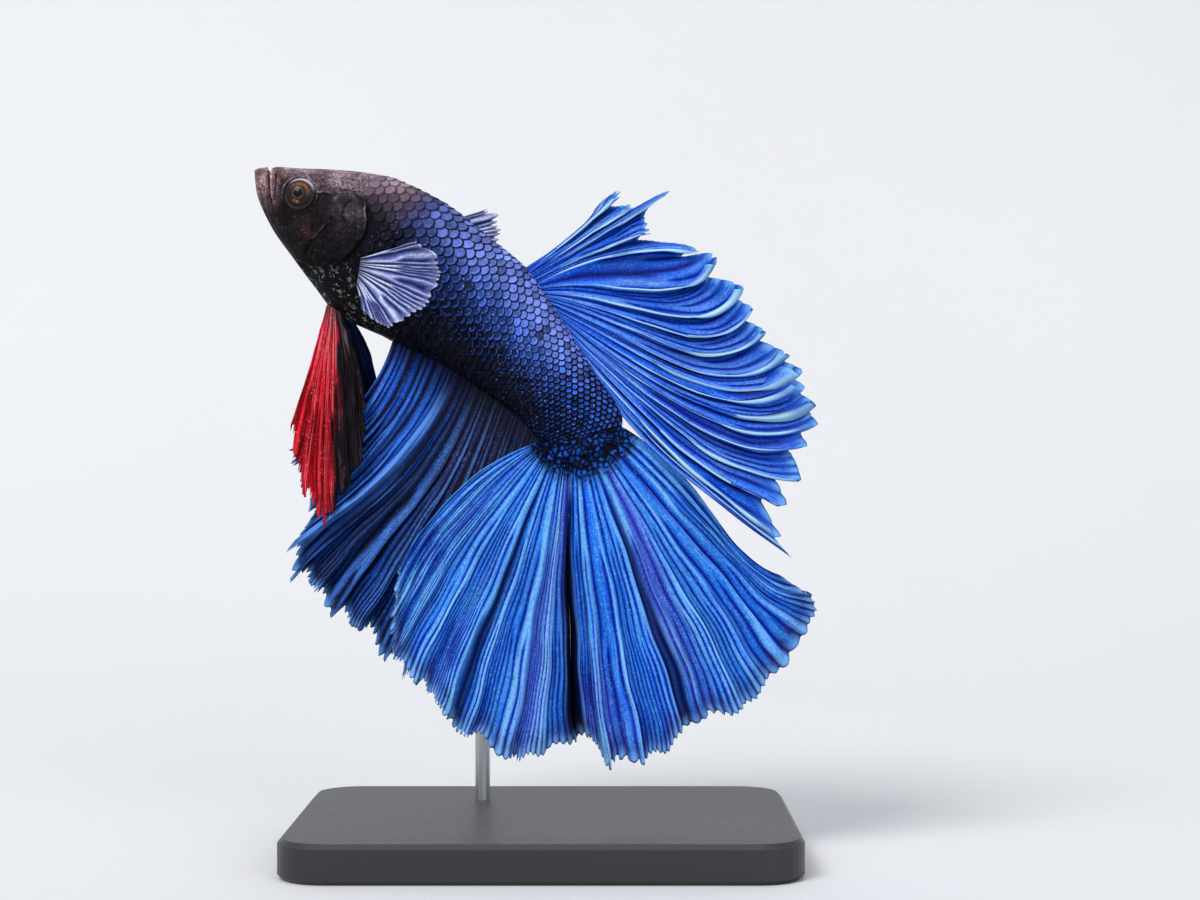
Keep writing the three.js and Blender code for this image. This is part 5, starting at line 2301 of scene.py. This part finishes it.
@dataclass
class Studio:
    """A pale sweep, soft lamps and the camera, in metres.

    The floor runs from near in front of the model to wall behind it, where it bends up by the radius
    bend. aim is the height that the lamps face, and camera_x, distance and camera_z place the camera.
    """

    floor_half: float = 0.9
    near: float = 0.5
    wall: float = 0.42
    bend: float = 0.25
    wall_height: float = 1.0
    aim: float = 0.04
    even_light: float = 0.26
    camera_x: float = 0.0058
    camera_z: float = 0.0421
    distance: float = 0.245
    lens: float = 70.0

    def sweep(self) -> None:
        """The floor, which rises into a backdrop behind the model."""
        deselect()
        bpy.ops.mesh.primitive_grid_add(x_subdivisions=4, y_subdivisions=160, size=2.0)
        piece = start_piece("sweep")
        flat = read_points(piece)
        run = (flat[:, 1] + 1) * 0.5 * (self.near + self.wall + self.wall_height)
        arc = self.bend * math.pi / 2
        straight = self.near + self.wall - self.bend
        angle = np.clip((run - straight) / self.bend, 0, math.pi / 2)
        past = np.maximum(run - straight - arc, 0)
        y = np.minimum(run, straight) - self.near + self.bend * np.sin(angle)
        z = self.bend * (1 - np.cos(angle)) + past
        write_points(piece, np.stack([flat[:, 0] * self.floor_half, y, z], -1) / MM)
        close_up(piece, 0.0001)
        paint = Paint("pale_sweep")
        cloud = paint.noise(paint.place(), 6.0, 2.0, 0.5)
        colour = paint.mixed(srgb(226, 227, 230), (cloud, srgb(232, 233, 235)))
        piece.data.materials.append(paint.finish({"Base Color": colour, "Roughness": 0.9}))

    def hang(self, lamp: Lamp) -> None:
        """Hangs a lamp and turns it to the model."""
        data = bpy.data.lights.new(lamp.name, "AREA")
        data.size = lamp.size
        data.energy = lamp.power
        hung = bpy.data.objects.new(lamp.name, data)
        hung.location = lamp.place
        away = np.array(lamp.place) - np.array([0.0, 0.0, self.aim])
        tilt = math.atan2(math.hypot(away[0], away[1]), away[2])
        hung.rotation_euler = (tilt, 0.0, math.atan2(away[0], -away[1]))
        bpy.context.scene.collection.objects.link(hung)

    def light(self) -> None:
        """The lamps, the world's even light, and the pale surround that is seen past the sweep."""
        for lamp in LAMPS:
            self.hang(lamp)
        world = bpy.data.worlds.new("studio")
        bpy.context.scene.world = world
        nodes = Nodes(world)
        even = {"Color": (0.9, 0.94, 1.0), "Strength": self.even_light}
        seen = {"Color": srgb(225, 227, 231)}
        rays = ("Is Camera Ray", "Is Glossy Ray", "Is Transmission Ray")
        straight, mirrored, refracted = nodes.outputs("ShaderNodeLightPath", {}, rays)
        shaders = {
            0: straight.maths("MAXIMUM", mirrored).maths("MAXIMUM", refracted),
            1: nodes.node("ShaderNodeBackground", {}, even),
            2: nodes.node("ShaderNodeBackground", {}, seen),
        }
        nodes.show("ShaderNodeOutputWorld", nodes.node("ShaderNodeMixShader", {}, shaders))

    def camera(self) -> None:
        """A level camera that faces the fish's left side."""
        data = bpy.data.cameras.new("camera")
        data.lens = self.lens
        data.sensor_width = 36.0
        data.clip_start = 0.01
        data.clip_end = 10.0
        camera = bpy.data.objects.new("camera", data)
        camera.location = (self.camera_x, -self.distance, self.camera_z)
        camera.rotation_euler = (math.pi / 2, 0.0, 0.0)
        bpy.context.scene.collection.objects.link(camera)
        bpy.context.scene.camera = camera


def main() -> None:
    """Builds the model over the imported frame."""
    logging.basicConfig(level=logging.INFO, format="%(name)s: %(message)s")
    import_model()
    bpy.context.scene.view_settings.view_transform = "Standard"
    studio = Studio()
    studio.camera()
    studio.light()
    studio.sweep()
    Stand().dress()
    body = Body()
    deselect()

    skin = Skin(body)
    hand_over(skin.build(), skin.dress(), skin.nodes)

    scales = Scales(body)
    coat = scales.dress()
    for name, left in (("scales_left", True), ("scales_right", False)):
        hand_over(scales.build(name, left), coat)

    eye = Eye(body)
    wet = eye.dress()
    for side, left in (("left", True), ("right", False)):
        hand_over(eye.build(f"eyeball_{side}", left), wet, [f"eye_{side}"])

    for fin in Finnage(body).all_fins():
        colouring = fin.dress()
        for cut in fin.cuts:
            hand_over(fin.build(cut), colouring, [fin.name])


if __name__ == "__main__":
    main()
